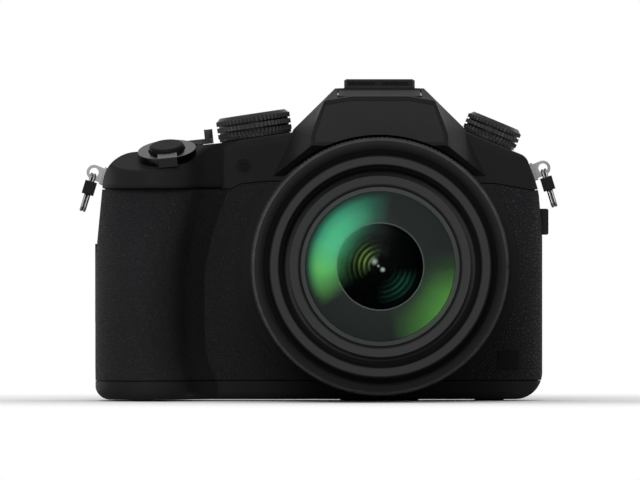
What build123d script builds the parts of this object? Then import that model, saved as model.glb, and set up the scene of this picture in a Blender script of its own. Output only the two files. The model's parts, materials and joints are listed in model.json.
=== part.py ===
from build123d import *
import math
import os

# A bridge camera with a fixed zoom lens. Millimetres, +Z up, the lens looks along -Y.
# The origin is the mouth of the tripod socket, straight below the lens axis.

# Overall casing
GRIP_SIDE_X = -86.9
PLAIN_SIDE_X = 49.9
FRONT_Y = -19.0
BACK_Y = 19.0
BASE_Z = 0.5
DECK_Z = 82.8
SEAM_Y = 3.0
LENS_Z = 41.2
WALL = 1.8
LEATHER_T = 0.9
SEAM_GAP = 0.25
RUN_GAP = 0.3
FIT_GAP = 0.05
OVERRUN = 5.0
EDGE_R = 2.5
SHOULDER_R = 7.0
FRONT_CORNER_R = 10.0
BACK_CORNER_R = 9.0

BODY_W = PLAIN_SIDE_X - GRIP_SIDE_X
DECK_H = DECK_Z - BASE_Z

# Corners of the casing seen from the front: share of width, share of height, share of the shoulder radius
OUTLINE_SHARES = [
    (0.0, 0.0, 0.67),
    (0.0, 0.504, 8.6),
    (0.0227, 0.9077, 1.5),
    (0.2756, 0.9514, 2.9),
    (0.4408, 0.9927, 2.9),
    (0.8224, 1.0, 0.86),
    (0.935, 0.9222, 1.43),
    (0.9635, 0.9028, 0.57),
    (0.9912, 0.7789, 2.9),
    (1.0, 0.6015, 4.3),
    (1.0, 0.0, 1.2),
]
SHOULDER_POINT, DIAL_POINT, HUMP_POINT, RIGHT_HUMP_POINT, RIGHT_POINT = 2, 3, 4, 5, 6

# Line where the top cover meets the covers below, by the same shares
PARTING_SHARES = [
    (-0.1, 0.7813),
    (0.3035, 0.7813),
    (0.326, 0.8007),
    (0.388, 0.8105),
    (0.892, 0.802),
    (0.9723, 0.7789),
    (1.1, 0.7789),
]
BOTTOM_COVER_TOP_Z = 6.2

# Hand grip, as level sections from the base up to the parting line
GRIP_DEPTH = 27.0
GRIP_W = 29.0
GRIP_LEAN = 1.9
GRIP_EDGE_R = 3.0
# Share of height, of the lean, of the depth and of the width
GRIP_SHARES = [
    (0.0, 0.0, 0.91, 1.03),
    (0.18, 0.0, 0.96, 1.0),
    (0.38, 0.0, 1.0, 0.965),
    (0.58, 0.0, 0.98, 0.965),
    (0.71, 0.1, 0.89, 0.995),
    (0.84, 0.37, 0.76, 1.05),
    (0.93, 0.68, 0.685, 1.09),
    (1.0, 0.95, 0.665, 1.12),
]
# Front of one level section: share of the width from the side, share of the depth
GRIP_CURVE_SHARES = [
    (0.0, 0.12),
    (0.16, 0.78),
    (0.5, 1.0),
    (0.85, 0.78),
    (1.0, 0.35),
    (1.15, 0.07),
    (1.4, -0.12),
]
BROW_DEPTH_SHARE = 0.85
BROW_W_SHARE = 1.08
BROW_TOP_DEPTH_SHARE = 0.8
GRIP_BACK_SHARE = 0.2
BLOCK_LEFT_X = -58.0

# Sloping plate in front of the shoulder that carries the shutter button
SLOPE_START_Y = -22.6
SLOPE_DEG = 19.0
SHUTTER_X = -65.0
SHUTTER_BACK = 8.2

# Raised housing over the lens: half widths and heights of its outline at three depths
HUMP_FRONT_Y = -37.0
HUMP_MID_Y = -16.0
HUMP_REAR_Y = 10.0
HUMP_END_Y = 28.0
HUMP_HALF_W = 34.5
HUMP_H = 28.4
HUMP_LOW_Z = 67.2
# Right half of each outline, from the foot to the top: share of the half width, share of the height
FRONT_HUMP_SHARES = [(0.6, 0.38), (0.6, 0.486), (0.501, 0.842), (0.26, 0.894)]
MID_HUMP_SHARES = [(1.0, 0.0), (0.762, 0.56), (0.394, 1.0), (0.17, 1.01)]
END_HUMP_SHARES = [(0.56, 0.3), (0.54, 0.45), (0.42, 0.9), (0.17, 0.93)]
FASCIA_LEAN_DEG = 10.0
FASCIA_T = 1.2
FASCIA_MARGIN = 1.0

# Raised top of the hump with the microphone slots and the shoe
CREST_HALF_W = 10.8
CREST_L = 9.5
CREST_SLOPE = 6.0
CREST_H = 2.3
MIC_T = 0.8
MIC_CELL_R = 0.42
MIC_CELL_PITCH = 1.15
MIC_COLUMNS = 7
MIC_ROWS = 3
MIC_GROUP_SHARE = 0.6
SHOE_W = 20.6
SHOE_SLOT_W = 18.7
SHOE_GAP_W = 12.6
SHOE_L = 18.0
SHOE_SLOT_H = 2.1
SHOE_LIP_T = 0.8
SHOE_BASE_T = 1.0
SHOE_Y = 1.5

# Pop-up flash lid in front of the crest
FLASH_HALF_W = 12.5
FLASH_L = 12.6
FLASH_DEPTH = 9.0
FLASH_PIN_R = 0.8
FLASH_KNUCKLE_R = 1.7
FLASH_HINGE_Y = -19.6
FLASH_HINGE_Z = 93.4
FLASH_OPEN_DEG = 50.0
FLASH_WINDOW_T = 1.2
# Side profile of the lid from the hinge: share of its length, share of its depth
FLASH_SHARES = [(0.0, 0.18), (0.95, -0.03), (1.0, -0.12), (0.98, -0.3), (0.6, -0.92), (0.1, -0.92)]

# Lens
FLANGE_R = 39.8
BARREL_R = 38.4
FLANGE_L = 5.0
RING_FRONT_Y = -84.0
RING_BACK_Y = -58.0
RING_R = 39.3
RING_TEETH = 176
RING_TOOTH = 0.45
RING_BAND_L = 3.2
LENS_FRONT_Y = -93.0
BEZEL_R = 38.1
BEZEL_L = 3.7
SLEEVE_T = 1.2
SLEEVE_R = 36.4
MIDDLE_T = 1.2
FRONT_TUBE_T = 1.6
ZOOM_TRAVEL = 32.0
TUBE_BACK_Y = -30.0
FILTER_R = 31.0
FILTER_L = 3.0
FILTER_SEAT_R = 29.7
NAME_RING_R = 27.4
GLASS_R = 24.1
NAME_RING_T = 1.2
NAME_RING_DEPTH = 6.5
NAME_RING_FALL = 2.0
GLASS_DOME_R = 62.0
GLASS_HOLLOW_R = 78.0
GLASS_T = 7.5
BAFFLE_R = 21.9
INNER_GLASS_R = 13.4
INNER_GLASS_DOME_R = 34.0
INNER_GLASS_T = 4.0
INNER_GLASS_DEPTH = 26.0
INNER_CELL_T = 1.5

# Dials and levers on top
MODE_R = 11.4
MODE_H = 7.2
MODE_TEETH = 54
MODE_Y = 2.0
DRIVE_R = 8.7
DRIVE_H = 6.4
DRIVE_TEETH = 42
DRIVE_Y = 2.0
DRIVE_TURN_DEG = 120.0
DIAL_TOOTH = 0.4
DIAL_GROOVE = 0.5
DIAL_BASE_H = 0.9
DIAL_BASE_STEP = 0.3
DIAL_RIM = 1.0
DIAL_DISH = 0.5
DIAL_DISH_MARGIN = 2.2
DIAL_ROWS = 3
DIAL_STEM_R = 3.0
POWER_X = -55.4
POWER_Y = 9.0
POWER_R = 4.6
POWER_H = 1.6
POWER_TAB_W = 2.6
POWER_TAB_H = 4.4
POWER_TAB_L = 2.6
POWER_TURN_DEG = 30.0
SHUTTER_R = 5.4
SHUTTER_RISE = 1.6
SHUTTER_TRAVEL = 0.8
ZOOM_RING_R = 8.9
ZOOM_RING_H = 2.2
ZOOM_TAB_W = 5.9
ZOOM_TAB_REACH = 1.6
ZOOM_TAB_H = 3.0
ZOOM_TURN_DEG = 20.0
RECORD_X = -58.2
RECORD_Y = -6.0
RECORD_R = 2.7
RECORD_RISE = 0.9

# Buttons: common sizes
BUTTON_GAP = 0.2
BUTTON_ROOT = 1.0
BUTTON_EDGE_R = 0.4
BUTTON_TRAVEL = 0.5
BACK_RISE = 1.0

# Places on the back: share of the thumb zone's width from the grip side, share of the height to the deck
THUMB_ZONE_W = 52.0
PLAYBACK_SHARES = (0.79, 0.655)
DISPLAY_SHARES = (0.23, 0.22)
DELETE_SHARES = (0.79, 0.22)
LOCK_SHARES = (0.68, 0.85)
PAD_SHARES = (0.52, 0.45)
WHEEL_SHARES = (0.36, 0.86)
THUMB_REST_SHARES = (0.36, 0.668)
SMALL_BUTTON_R = 2.8
LOCK_R = 3.2
FOCUS_LEVER_R = 5.3
FOCUS_LEVER_H = 1.1
FOCUS_TAB_W = 2.6
FOCUS_TAB_REACH = 1.5
FOCUS_TAB_H = 2.4
FOCUS_TURN_DEG = 20.0
PAD_R = 10.2
PAD_RISE = 1.2
PAD_TILT_DEG = 2.5
PAD_DISH = 0.5
SET_R = 4.0
SET_RISE = 1.5
WHEEL_R = 8.0
WHEEL_T = 4.6
WHEEL_TEETH = 40
WHEEL_RISE = 2.0
WHEEL_PIN_R = 1.2
THUMB_REST_W = 16.0
THUMB_REST_H = 14.0
THUMB_REST_RISE = 1.6

# Swing-out screen on the back
SCREEN_RIGHT_X = 42.4
SCREEN_W = 73.0
SCREEN_LOW_Z = 8.5
SCREEN_H = 53.0
SCREEN_T = 7.0
SCREEN_RISE = 2.0
SCREEN_CORNER_R = 3.0
SCREEN_EDGE_R = 1.0
GLASS_MARGIN = 4.0
SCREEN_GLASS_T = 0.9
SCREEN_HINGE_X = 45.0
SCREEN_HINGE_Y = 19.2
SCREEN_KNUCKLE_R = 1.9
SCREEN_KNUCKLE_L = 34.0
SCREEN_PIN_R = 0.8
SCREEN_ARM_T = 3.4
SCREEN_SWING_DEG = 175.0
COVER_KNUCKLE_L = 4.0

# Eyepiece
EYE_W = 34.0
EYE_H = 21.0
EYE_LOW_Z = 74.6
EYE_L = 9.7
EYE_WINDOW_W = 20.0
EYE_WINDOW_H = 11.0
EYE_FLARE = 1.6
EYE_LENS_T = 1.6
EYE_CORNER_R = 4.0
FINDER_L = 20.0
DIOPTER_R = 4.2
DIOPTER_T = 2.4
DIOPTER_TEETH = 24
DIOPTER_TURN_DEG = 90.0
DIOPTER_Y = 22.0

# Doors
BATTERY_W = 15.0
BATTERY_D = 35.5
BATTERY_H = 52.0
BATTERY_X = -73.5
BATTERY_Y = -12.0
DOOR_T = 1.5
DOOR_W = 17.6
DOOR_D = 38.0
DOOR_OPEN_DEG = 95.0
DOOR_PIN_R = 0.35
LATCH_W = 4.0
LATCH_L = 8.0
LATCH_T = 0.6
LATCH_TRAVEL = 2.0
SIDE_DOOR_RISE = 1.9
SIDE_DOOR_T = 1.1
MIC_DOOR_D = 11.6
MIC_DOOR_H = 8.0
MIC_DOOR_Z = 54.8
PORT_DOOR_D = 10.0
PORT_DOOR_H = 24.0
PORT_DOOR_Z = 36.0
PORT_DOOR_RISE = 0.2
SIDE_DOOR_Y = -3.4
SIDE_DOOR_OPEN_DEG = 100.0
SIDE_DOOR_MARGIN = 1.6

# Strap eyelets and rings
EYELET_R = 2.3
EYELET_HOLE_R = 1.4
EYELET_T = 1.5
EYELET_OUT = 3.0
LEFT_EYELET_SHARES = (-0.0044, 0.844)
RIGHT_EYELET_SHARES = (1.0022, 0.86)
EYELET_FOOT_L = 5.6
EYELET_FOOT_T = 0.8
EYELET_FOOT_W = 5.0
EYELET_Y = 0.0
EYELET_LEAN_DEG = 22.0
EYELET_ROOT = 2.0
WIRE_TURN = 0.48
WIRE_BEND_R = 1.0
WIRE_SEAT = 0.7
RING_STOP_DEG = 40.0
WIRE_R = 0.45
RING_DROP = 11.4
RING_TOP_W = 3.2
RING_BOTTOM_W = 9.0
RING_LEAN_DEG = 17.0
GUARD_W = 3.6
GUARD_H = 4.2
GUARD_DROP = 6.4
GUARD_D = 9.4

# Front details
LAMP_R = 1.6
LAMP_RIM_R = 2.3
LAMP_X = -41.3
LAMP_Z = 71.5
LAMP_RECESS = 0.5
LEATHER_CUT_R = 42.3
LEATHER_LOW_Z = 6.5
LEATHER_TOP_GAP = 0.5
GRIP_LEATHER_RIGHT_X = -29.0
SIDE_LEATHER_LEFT_X = 28.6
BADGE_X = 36.2
BADGE_Z = 9.5
BADGE_W = 6.3
BADGE_H = 5.8
BADGE_PROUD = 0.15

# Base
TRIPOD_R = 2.6
TRIPOD_L = 5.0
TRIPOD_BODY_R = 5.5
TRIPOD_PAD_R = 12.0
FOOT_R = 4.5
FOOT_X_SHARES = (0.128, 0.881)
FOOT_Y = -6.0
SCREW_R = 1.3
SCREW_HEAD_H = 0.5
SCREW_L = 5.0
SCREW_SHARES = [(0.48, 0.42), (0.93, 0.4), (0.92, -0.3), (0.42, -0.33)]

# Inside
CHASSIS_T = 1.5
CHASSIS_LEFT_X = -54.0
CHASSIS_RIGHT_X = 39.0
CHASSIS_LOW_Z = 8.0
CHASSIS_TOP_Z = 62.0
POST_R = 2.0
BOARD_T = 1.6
BOARD_Y = 9.0
SENSOR_W = 26.0
SENSOR_H = 20.0
SENSOR_T = 6.0
LENS_HOLE_R = 24.0
REAR_GROUP_R = 15.0
REAR_GROUP_L = 12.0


def front_plane(y):
    """Faces the viewer: local x is X, local y is Z, and an extrusion comes forward."""
    return Plane(origin=(0, y, 0), x_dir=(1, 0, 0), z_dir=(0, -1, 0))


def back_plane(y):
    """Faces away from the viewer: local x is -X, local y is Z, and an extrusion goes back."""
    return Plane(origin=(0, y, 0), x_dir=(-1, 0, 0), z_dir=(0, 1, 0))


def side_plane(x):
    """Faces the plain side: local x is Y, local y is Z, and an extrusion goes to +X."""
    return Plane(origin=(x, 0, 0), x_dir=(0, 1, 0), z_dir=(1, 0, 0))


def block(low, high):
    """A box from its lowest to its highest corner."""
    size = [b - a for a, b in zip(low, high)]
    middle = [(a + b) / 2 for a, b in zip(low, high)]
    return Pos(*middle) * Box(*size)


def tube(radius, bore, y_back, y_front, x=0.0, z=LENS_Z):
    """A ring or disc round an axis along Y, from y_back forward to y_front."""
    face = Circle(radius) - Circle(bore) if bore else Circle(radius)
    return extrude(front_plane(y_back) * Pos(x, z) * face, amount=y_back - y_front)


def inset_points(points, amount):
    """The corners of a closed outline, anticlockwise, moved inwards by the amount."""
    moved = []
    for i, (x, y) in enumerate(points):
        ax, ay = points[i - 1]
        bx, by = points[(i + 1) % len(points)]
        a_len, b_len = math.hypot(x - ax, y - ay), math.hypot(bx - x, by - y)
        nax, nay = -(y - ay) / a_len, (x - ax) / a_len
        nbx, nby = -(by - y) / b_len, (bx - x) / b_len
        spread = 1 + nax * nbx + nay * nby
        moved.append((x + amount * (nax + nbx) / spread, y + amount * (nay + nby) / spread))
    return moved


def knurled(radius, tooth, teeth, height):
    """A disc whose rim is cut into pointed teeth."""
    points = []
    for i in range(2 * teeth):
        reach = radius if i % 2 else radius - tooth
        angle = math.pi * i / teeth
        points.append((reach * math.cos(angle), reach * math.sin(angle)))
    return extrude(make_face(Polyline(*points, close=True)), amount=height)


def outline_corners():
    """Corners of the casing seen from the front, clockwise from the grip's foot."""
    return [(GRIP_SIDE_X + x * BODY_W, BASE_Z + z * DECK_H) for x, z, _ in OUTLINE_SHARES]


def deck_plane(first, second, share, y):
    """A plane on the sloping deck between two outline corners, with its local z standing off the deck."""
    corners = outline_corners()
    (ax, az), (bx, bz) = corners[first], corners[second]
    along = Vector(bx - ax, 0, bz - az).normalized()
    origin = (ax + share * (bx - ax), y, az + share * (bz - az))
    return Plane(origin=origin, x_dir=along, z_dir=along.cross(Vector(0, 1, 0)))


def slope_plane():
    """The sloping plate at the shutter button, with its local y running up the slope."""
    ridge = deck_plane(SHOULDER_POINT, DIAL_POINT, 0.5, SLOPE_START_Y)
    ridge_normal = ridge.z_dir
    uphill = Vector(0, 1, 0) * math.cos(math.radians(SLOPE_DEG))
    uphill = uphill + ridge_normal * math.sin(math.radians(SLOPE_DEG))
    normal = ridge.x_dir.cross(uphill)
    side_shift = (SHUTTER_X - ridge.origin.X) / ridge.x_dir.X
    origin = ridge.origin + ridge.x_dir * side_shift - uphill * SHUTTER_BACK
    return Plane(origin=origin, x_dir=ridge.x_dir, z_dir=normal)


def front_outline(inset):
    """The casing's outline seen from the front, drawn in by the inset."""
    clockwise = outline_corners()
    radii = [share * SHOULDER_R for _, _, share in OUTLINE_SHARES]
    points = inset_points(clockwise[::-1], inset)
    kept = [max(radius - inset, radius / 4) for radius in radii[::-1]]
    return make_face(FilletPolyline(*points, radius=kept, close=True))


def main_block(inset):
    """The box-like casing behind the lens, with rounded front and back edges."""
    shape = front_outline(inset)
    depth = BACK_Y - FRONT_Y - 2 * inset
    solid = extrude(front_plane(BACK_Y - inset) * shape, amount=depth)
    if not inset:
        solid = fillet(solid.faces().sort_by(Axis.Y)[0].edges(), EDGE_R)
        solid = fillet(solid.faces().sort_by(Axis.Y)[-1].edges(), EDGE_R)
    left, right = BLOCK_LEFT_X, PLAIN_SIDE_X - inset
    front, back = FRONT_Y + inset, BACK_Y - inset
    corners = [(left, front), (right, front), (right, back), (left, back)]
    radii = [0, FRONT_CORNER_R - inset, BACK_CORNER_R - inset, 0]
    plan = make_face(FilletPolyline(*corners, radius=radii, close=True))
    return solid & extrude(Plane.XY.offset(BASE_Z - OVERRUN) * plan, amount=DECK_Z + 2 * OVERRUN)


def grip_section(z, lean, depth, width, inset):
    """A level slice through the grip, from the back of the casing round the nose to the front panel."""
    left = GRIP_SIDE_X + lean + inset
    front = FRONT_Y + inset
    width = width - 2 * inset
    points = [(left, front + GRIP_BACK_SHARE * depth)]
    for across, forward in GRIP_CURVE_SHARES:
        points.append((left + across * width, front - forward * depth))
    points[-1] = (points[-1][0] + inset, points[-1][1])
    nose = Spline(*points, tangents=[(0, -1), (1, 0.3)])
    back = BACK_Y + OVERRUN
    rest = Polyline(points[-1], (points[-1][0], back), (left, back), points[0])
    return Plane.XY.offset(z) * make_face(nose + rest)


def parting_line():
    """Points of the line between the top cover and the covers below it."""
    return [(GRIP_SIDE_X + x * BODY_W, BASE_Z + z * DECK_H) for x, z in PARTING_SHARES]


def above_parting(shift):
    """The space above the parting line, moved up by the shift."""
    points = [(x, z + shift) for x, z in parting_line()]
    roof = DECK_Z + HUMP_H
    points += [(points[-1][0], roof), (points[0][0], roof)]
    return extrude(front_plane(BACK_Y + HUMP_END_Y) * make_face(Polyline(*points, close=True)),
                   amount=2 * (HUMP_END_Y - HUMP_FRONT_Y) + OVERRUN)


def grip_form(inset):
    """The lower grip, under the brow of the top cover."""
    top = parting_line()[1][1]
    height = top - BASE_Z
    slices = []
    for up, lean, depth, width in GRIP_SHARES:
        z = BASE_Z + up * height
        slices.append(grip_section(z, lean * GRIP_LEAN, depth * GRIP_DEPTH, width * GRIP_W, inset))
    slices.append(grip_section(top + 4 * WALL, lean * GRIP_LEAN, depth * GRIP_DEPTH, width * GRIP_W, inset))
    solid = loft(slices) & zone(z_range=(BASE_Z + inset, top + 2 * inset))
    if not inset:
        solid = fillet(solid.faces().sort_by(Axis.Z)[0].edges(), GRIP_EDGE_R)
    return solid & casing_prism(inset)


def casing_prism(inset):
    """Everything inside the front outline and the rounded back corners."""
    prism = extrude(front_plane(BACK_Y + OVERRUN) * front_outline(inset),
                    amount=BACK_Y - FRONT_Y + GRIP_DEPTH + 2 * OVERRUN)
    left, right, back = GRIP_SIDE_X + inset, PLAIN_SIDE_X, BACK_Y - inset
    front = FRONT_Y - GRIP_DEPTH - OVERRUN
    corners = [(left, front), (right, front), (right, back), (left, back)]
    plan = make_face(FilletPolyline(*corners, radius=[0, 0, 0, BACK_CORNER_R - inset], close=True))
    return prism & extrude(Plane.XY.offset(BASE_Z - OVERRUN) * plan, amount=DECK_Z + 2 * OVERRUN)


def brow_form(inset):
    """The part of the top cover over the grip, cut to the sloping shutter plate."""
    low = parting_line()[1][1] + inset
    brow = GRIP_DEPTH * BROW_DEPTH_SHARE
    width = GRIP_W * BROW_W_SHARE
    slices = [grip_section(low, GRIP_LEAN, brow, width, inset)]
    slices.append(grip_section(DECK_Z, GRIP_LEAN, brow * BROW_TOP_DEPTH_SHARE, width, inset))
    solid = loft(slices)
    cut = slope_plane().offset(-inset)
    reach = 2 * BODY_W
    solid -= cut * Pos(0, 0, reach / 2) * Box(reach, reach, reach)
    if not inset:
        edges = [e for e in solid.faces().sort_by(Axis((0, 0, 0), tuple(cut.z_dir)))[-1].edges()
                 if e.center().Y < SLOPE_START_Y or e.center().X < SHUTTER_X]
        solid = fillet(edges, EDGE_R / 2)
    return solid & casing_prism(inset)


def hump_top_z():
    """Height of the hump's flat top."""
    return HUMP_LOW_Z + HUMP_H * max(z for _, z in MID_HUMP_SHARES)


def hump_outline(shares, y, inset):
    """One outline of the hump, as a closed face at depth y."""
    right = [(x * HUMP_HALF_W, HUMP_LOW_Z + z * HUMP_H) for x, z in shares]
    points = right + [(-x, z) for x, z in right[::-1]]
    return front_plane(y) * make_face(Polyline(*inset_points(points, inset), close=True))


def fascia_plane(inset):
    """The bare plate over the lens, leaning back from its foot."""
    lean = math.radians(FASCIA_LEAN_DEG)
    normal = Vector(0, -math.cos(lean), math.sin(lean))
    foot = Vector(0, HUMP_FRONT_Y, HUMP_LOW_Z + HUMP_H * FRONT_HUMP_SHARES[0][1])
    return Plane(origin=foot - normal * inset, x_dir=(1, 0, 0), z_dir=normal)


def hump_form(inset):
    """The faceted housing over the lens, from the bare fascia back to the eyepiece."""
    front = hump_outline(FRONT_HUMP_SHARES, HUMP_FRONT_Y, inset)
    middle = hump_outline(MID_HUMP_SHARES, HUMP_MID_Y, inset)
    rear = hump_outline(MID_HUMP_SHARES, HUMP_REAR_Y, inset)
    end = hump_outline(END_HUMP_SHARES, HUMP_END_Y - inset, inset)
    solid = loft([front, middle], ruled=True) + loft([middle, rear], ruled=True)
    solid += loft([rear, end], ruled=True)
    solid -= fascia_plane(inset) * Pos(0, 0, HUMP_H / 2) * Box(2 * BODY_W, 2 * BODY_W, HUMP_H)
    arch = FLANGE_R + RUN_GAP + inset
    return solid - tube(arch, 0, FRONT_Y + inset, HUMP_FRONT_Y - OVERRUN)


def casing(inset):
    """The whole casing as one solid, drawn in by the inset."""
    return main_block(inset) + grip_form(inset) + brow_form(inset) + hump_form(inset)


def crest():
    """Ridge in front of the shoe, with its sloping face for the microphone slots."""
    top = hump_top_z()
    back = SHOE_Y - SHOE_L / 2
    front = back - CREST_L
    points = [(front, top - WALL), (front, top), (front + CREST_SLOPE, top + CREST_H)]
    points += [(back, top + CREST_H), (back, top - WALL)]
    face = make_face(Polyline(*points, close=True))
    return extrude(side_plane(-CREST_HALF_W) * face, amount=2 * CREST_HALF_W)


def mic_plane():
    """The ridge's sloping face, with its local y running up the slope."""
    uphill = Vector(0, CREST_SLOPE, CREST_H).normalized()
    start = Vector(0, SHOE_Y - SHOE_L / 2 - CREST_L, hump_top_z())
    length = math.hypot(CREST_SLOPE, CREST_H)
    return Plane(origin=start + uphill * (length / 2), x_dir=(1, 0, 0), z_dir=Vector(1, 0, 0).cross(uphill))


def mic_grille():
    """Plate with two groups of six-sided slots."""
    length = math.hypot(CREST_SLOPE, CREST_H) - 2 * MIC_T
    width = 2 * CREST_HALF_W - 2 * MIC_T
    face = Rectangle(width, length)
    rise = MIC_CELL_PITCH * math.sqrt(3) / 2
    group = (MIC_COLUMNS + 0.5) * MIC_CELL_PITCH
    for side in (-1, 1):
        for row in range(MIC_ROWS):
            for column in range(MIC_COLUMNS):
                shift = (column - MIC_COLUMNS / 2 + (0.5 if row % 2 else 0)) * MIC_CELL_PITCH
                place = (side * group * MIC_GROUP_SHARE + shift, (row - (MIC_ROWS - 1) / 2) * rise)
                face -= Pos(*place) * RegularPolygon(MIC_CELL_R, 6, rotation=30)
    return mic_plane().offset(-MIC_T) * extrude(face, amount=MIC_T)


def shoe():
    """Accessory shoe: base, two walls and their inward lips."""
    base = hump_top_z() - RUN_GAP
    front, back = SHOE_Y - SHOE_L / 2, SHOE_Y + SHOE_L / 2
    half, slot, gap = SHOE_W / 2, SHOE_SLOT_W / 2, SHOE_GAP_W / 2
    top = base + SHOE_SLOT_H + SHOE_LIP_T
    solid = block((-half, front, base - SHOE_BASE_T), (half, back, top))
    solid -= block((-slot, front + SHOE_LIP_T, base), (slot, back + OVERRUN, base + SHOE_SLOT_H))
    return solid - block((-gap, front + 2 * SHOE_LIP_T, base), (gap, back + OVERRUN, top + OVERRUN))


def shoe_seat():
    """Recess that the shoe drops into."""
    base = hump_top_z() - RUN_GAP - SHOE_BASE_T
    front, back = SHOE_Y - SHOE_L / 2, SHOE_Y + SHOE_L / 2
    return block((-SHOE_W / 2, front, base), (SHOE_W / 2, back, hump_top_z() + CREST_H + OVERRUN))


def flash_points():
    """Side profile of the flash lid, from its hinge round the front."""
    points = []
    for forward, up in FLASH_SHARES:
        points.append((FLASH_HINGE_Y - forward * FLASH_L, FLASH_HINGE_Z + up * FLASH_DEPTH))
    return points


def flash_window_face():
    """Side profile of the flash window, set into the lid's lower front face."""
    points = flash_points()
    (ay, az), (by, bz) = points[3], points[4]
    length = math.hypot(by - ay, bz - az)
    inward = ((az - bz) / length, (by - ay) / length)
    deep = []
    for y, z in (points[4], points[3]):
        deep.append((y + inward[0] * FLASH_WINDOW_T, z + inward[1] * FLASH_WINDOW_T))
    return make_face(Polyline((ay, az), (by, bz), *deep, close=True))


def flash_pin(radius, half):
    """A rod on the flash hinge's axis."""
    return extrude(side_plane(-half) * Pos(FLASH_HINGE_Y, FLASH_HINGE_Z) * Circle(radius), amount=2 * half)


def flash_lid():
    """Wedge-shaped lid with a knuckle along its hinge and a hollow underside."""
    profile = make_face(Polyline(*flash_points(), close=True))
    solid = extrude(side_plane(-FLASH_HALF_W) * profile, amount=2 * FLASH_HALF_W)
    solid += flash_pin(FLASH_KNUCKLE_R, FLASH_HALF_W)
    solid -= flash_pin(FLASH_PIN_R + FIT_GAP, FLASH_HALF_W + OVERRUN)
    return solid - flash_window(0)


def flash_window(shrink):
    """Clear plate in front of the flash tube."""
    half = FLASH_HALF_W - WALL - shrink
    return extrude(side_plane(-half) * flash_window_face(), amount=2 * half)


def flash_well(margin):
    """Room for the lid in the hump, with that margin round it."""
    half = FLASH_HALF_W + margin
    front = FLASH_HINGE_Y - FLASH_L - margin
    back = FLASH_HINGE_Y + FLASH_KNUCKLE_R + margin
    low = FLASH_HINGE_Z - FLASH_DEPTH - margin
    return block((-half, front, low), (half, back, hump_top_z() + OVERRUN))


def back_place(shares):
    """A point on the thumb side of the back."""
    return GRIP_SIDE_X + shares[0] * THUMB_ZONE_W, BASE_Z + shares[1] * DECK_H


def round_button(plane, radius, rise):
    """A button with a rounded edge that stands off the plane and reaches in past the wall."""
    solid = plane.offset(-WALL - BUTTON_ROOT) * extrude(Circle(radius), amount=WALL + BUTTON_ROOT + rise)
    rim = solid.faces().sort_by(Axis(tuple(plane.origin), tuple(plane.z_dir)))[-1].edges()
    return fillet(rim, BUTTON_EDGE_R)


def button_hole(plane, radius):
    """A hole through the wall for a button or a stem."""
    return plane.offset(-WALL - OVERRUN) * extrude(Circle(radius + BUTTON_GAP), amount=WALL + 2 * OVERRUN)


def back_button_plane(shares):
    """A plane on the back at one of the named places, facing away from the viewer."""
    x, z = back_place(shares)
    return Plane(origin=(x, BACK_Y, z), x_dir=(-1, 0, 0), z_dir=(0, 1, 0))


def top_face(solid, plane):
    """The solid's face that stands furthest off a plane."""
    return solid.faces().sort_by(Axis(tuple(plane.origin), tuple(plane.z_dir)))[-1]


def dial(plane, radius, height, teeth):
    """A dial with knurled rows between plain grooves, a bevelled rim and a stem."""
    base = plane.offset(RUN_GAP)
    solid = base * extrude(Circle(radius - DIAL_BASE_STEP), amount=height)
    solid = chamfer(top_face(solid, plane).edges(), DIAL_RIM)
    row = (height - DIAL_BASE_H - DIAL_RIM - (DIAL_ROWS - 1) * DIAL_GROOVE) / DIAL_ROWS
    solid -= base.offset(height - DIAL_DISH) * extrude(Circle(radius - DIAL_DISH_MARGIN), amount=height)
    groove = base.offset(DIAL_BASE_H) * extrude(
        Circle(radius) - Circle(radius - DIAL_TOOTH - DIAL_BASE_STEP), amount=height - DIAL_BASE_H - DIAL_RIM)
    solid -= groove
    for i in range(DIAL_ROWS):
        level = DIAL_BASE_H + i * (row + DIAL_GROOVE)
        teeth_ring = knurled(radius, DIAL_TOOTH, teeth, row)
        solid += base.offset(level) * teeth_ring
    root = WALL + BUTTON_ROOT
    return solid + plane.offset(-root) * extrude(Circle(DIAL_STEM_R), amount=root + RUN_GAP)


def mode_plane():
    return deck_plane(DIAL_POINT, HUMP_POINT, 0.5, MODE_Y)


def drive_plane():
    return deck_plane(RIGHT_HUMP_POINT, RIGHT_POINT, 0.5, DRIVE_Y)


def deck_spot(x, y):
    """A plane on the left deck at a given x and y."""
    corners = outline_corners()
    (ax, _), (bx, _) = corners[SHOULDER_POINT], corners[DIAL_POINT]
    return deck_plane(SHOULDER_POINT, DIAL_POINT, (x - ax) / (bx - ax), y)


def zoom_lever():
    """Ring round the shutter button with a ridged tab at the front."""
    plane = slope_plane().offset(RUN_GAP)
    solid = extrude(Circle(ZOOM_RING_R) - Circle(SHUTTER_R + RUN_GAP), amount=ZOOM_RING_H)
    reach = ZOOM_RING_R + ZOOM_TAB_REACH
    tab = block((-ZOOM_TAB_W / 2, -reach, 0), (ZOOM_TAB_W / 2, -SHUTTER_R - 2 * RUN_GAP, ZOOM_TAB_H))
    return plane * (solid + tab)


def shutter_button():
    """Round button in the middle of the zoom ring, on a stem through the plate."""
    plane = slope_plane()
    top = RUN_GAP + ZOOM_RING_H + SHUTTER_RISE
    foot = SHUTTER_TRAVEL + RUN_GAP
    head = plane.offset(foot) * extrude(Circle(SHUTTER_R), amount=top - foot)
    head = fillet(top_face(head, plane).edges(), 2 * BUTTON_EDGE_R)
    stem = plane.offset(-WALL - BUTTON_ROOT) * extrude(Circle(DIAL_STEM_R), amount=WALL + BUTTON_ROOT + foot)
    return head + stem


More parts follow.
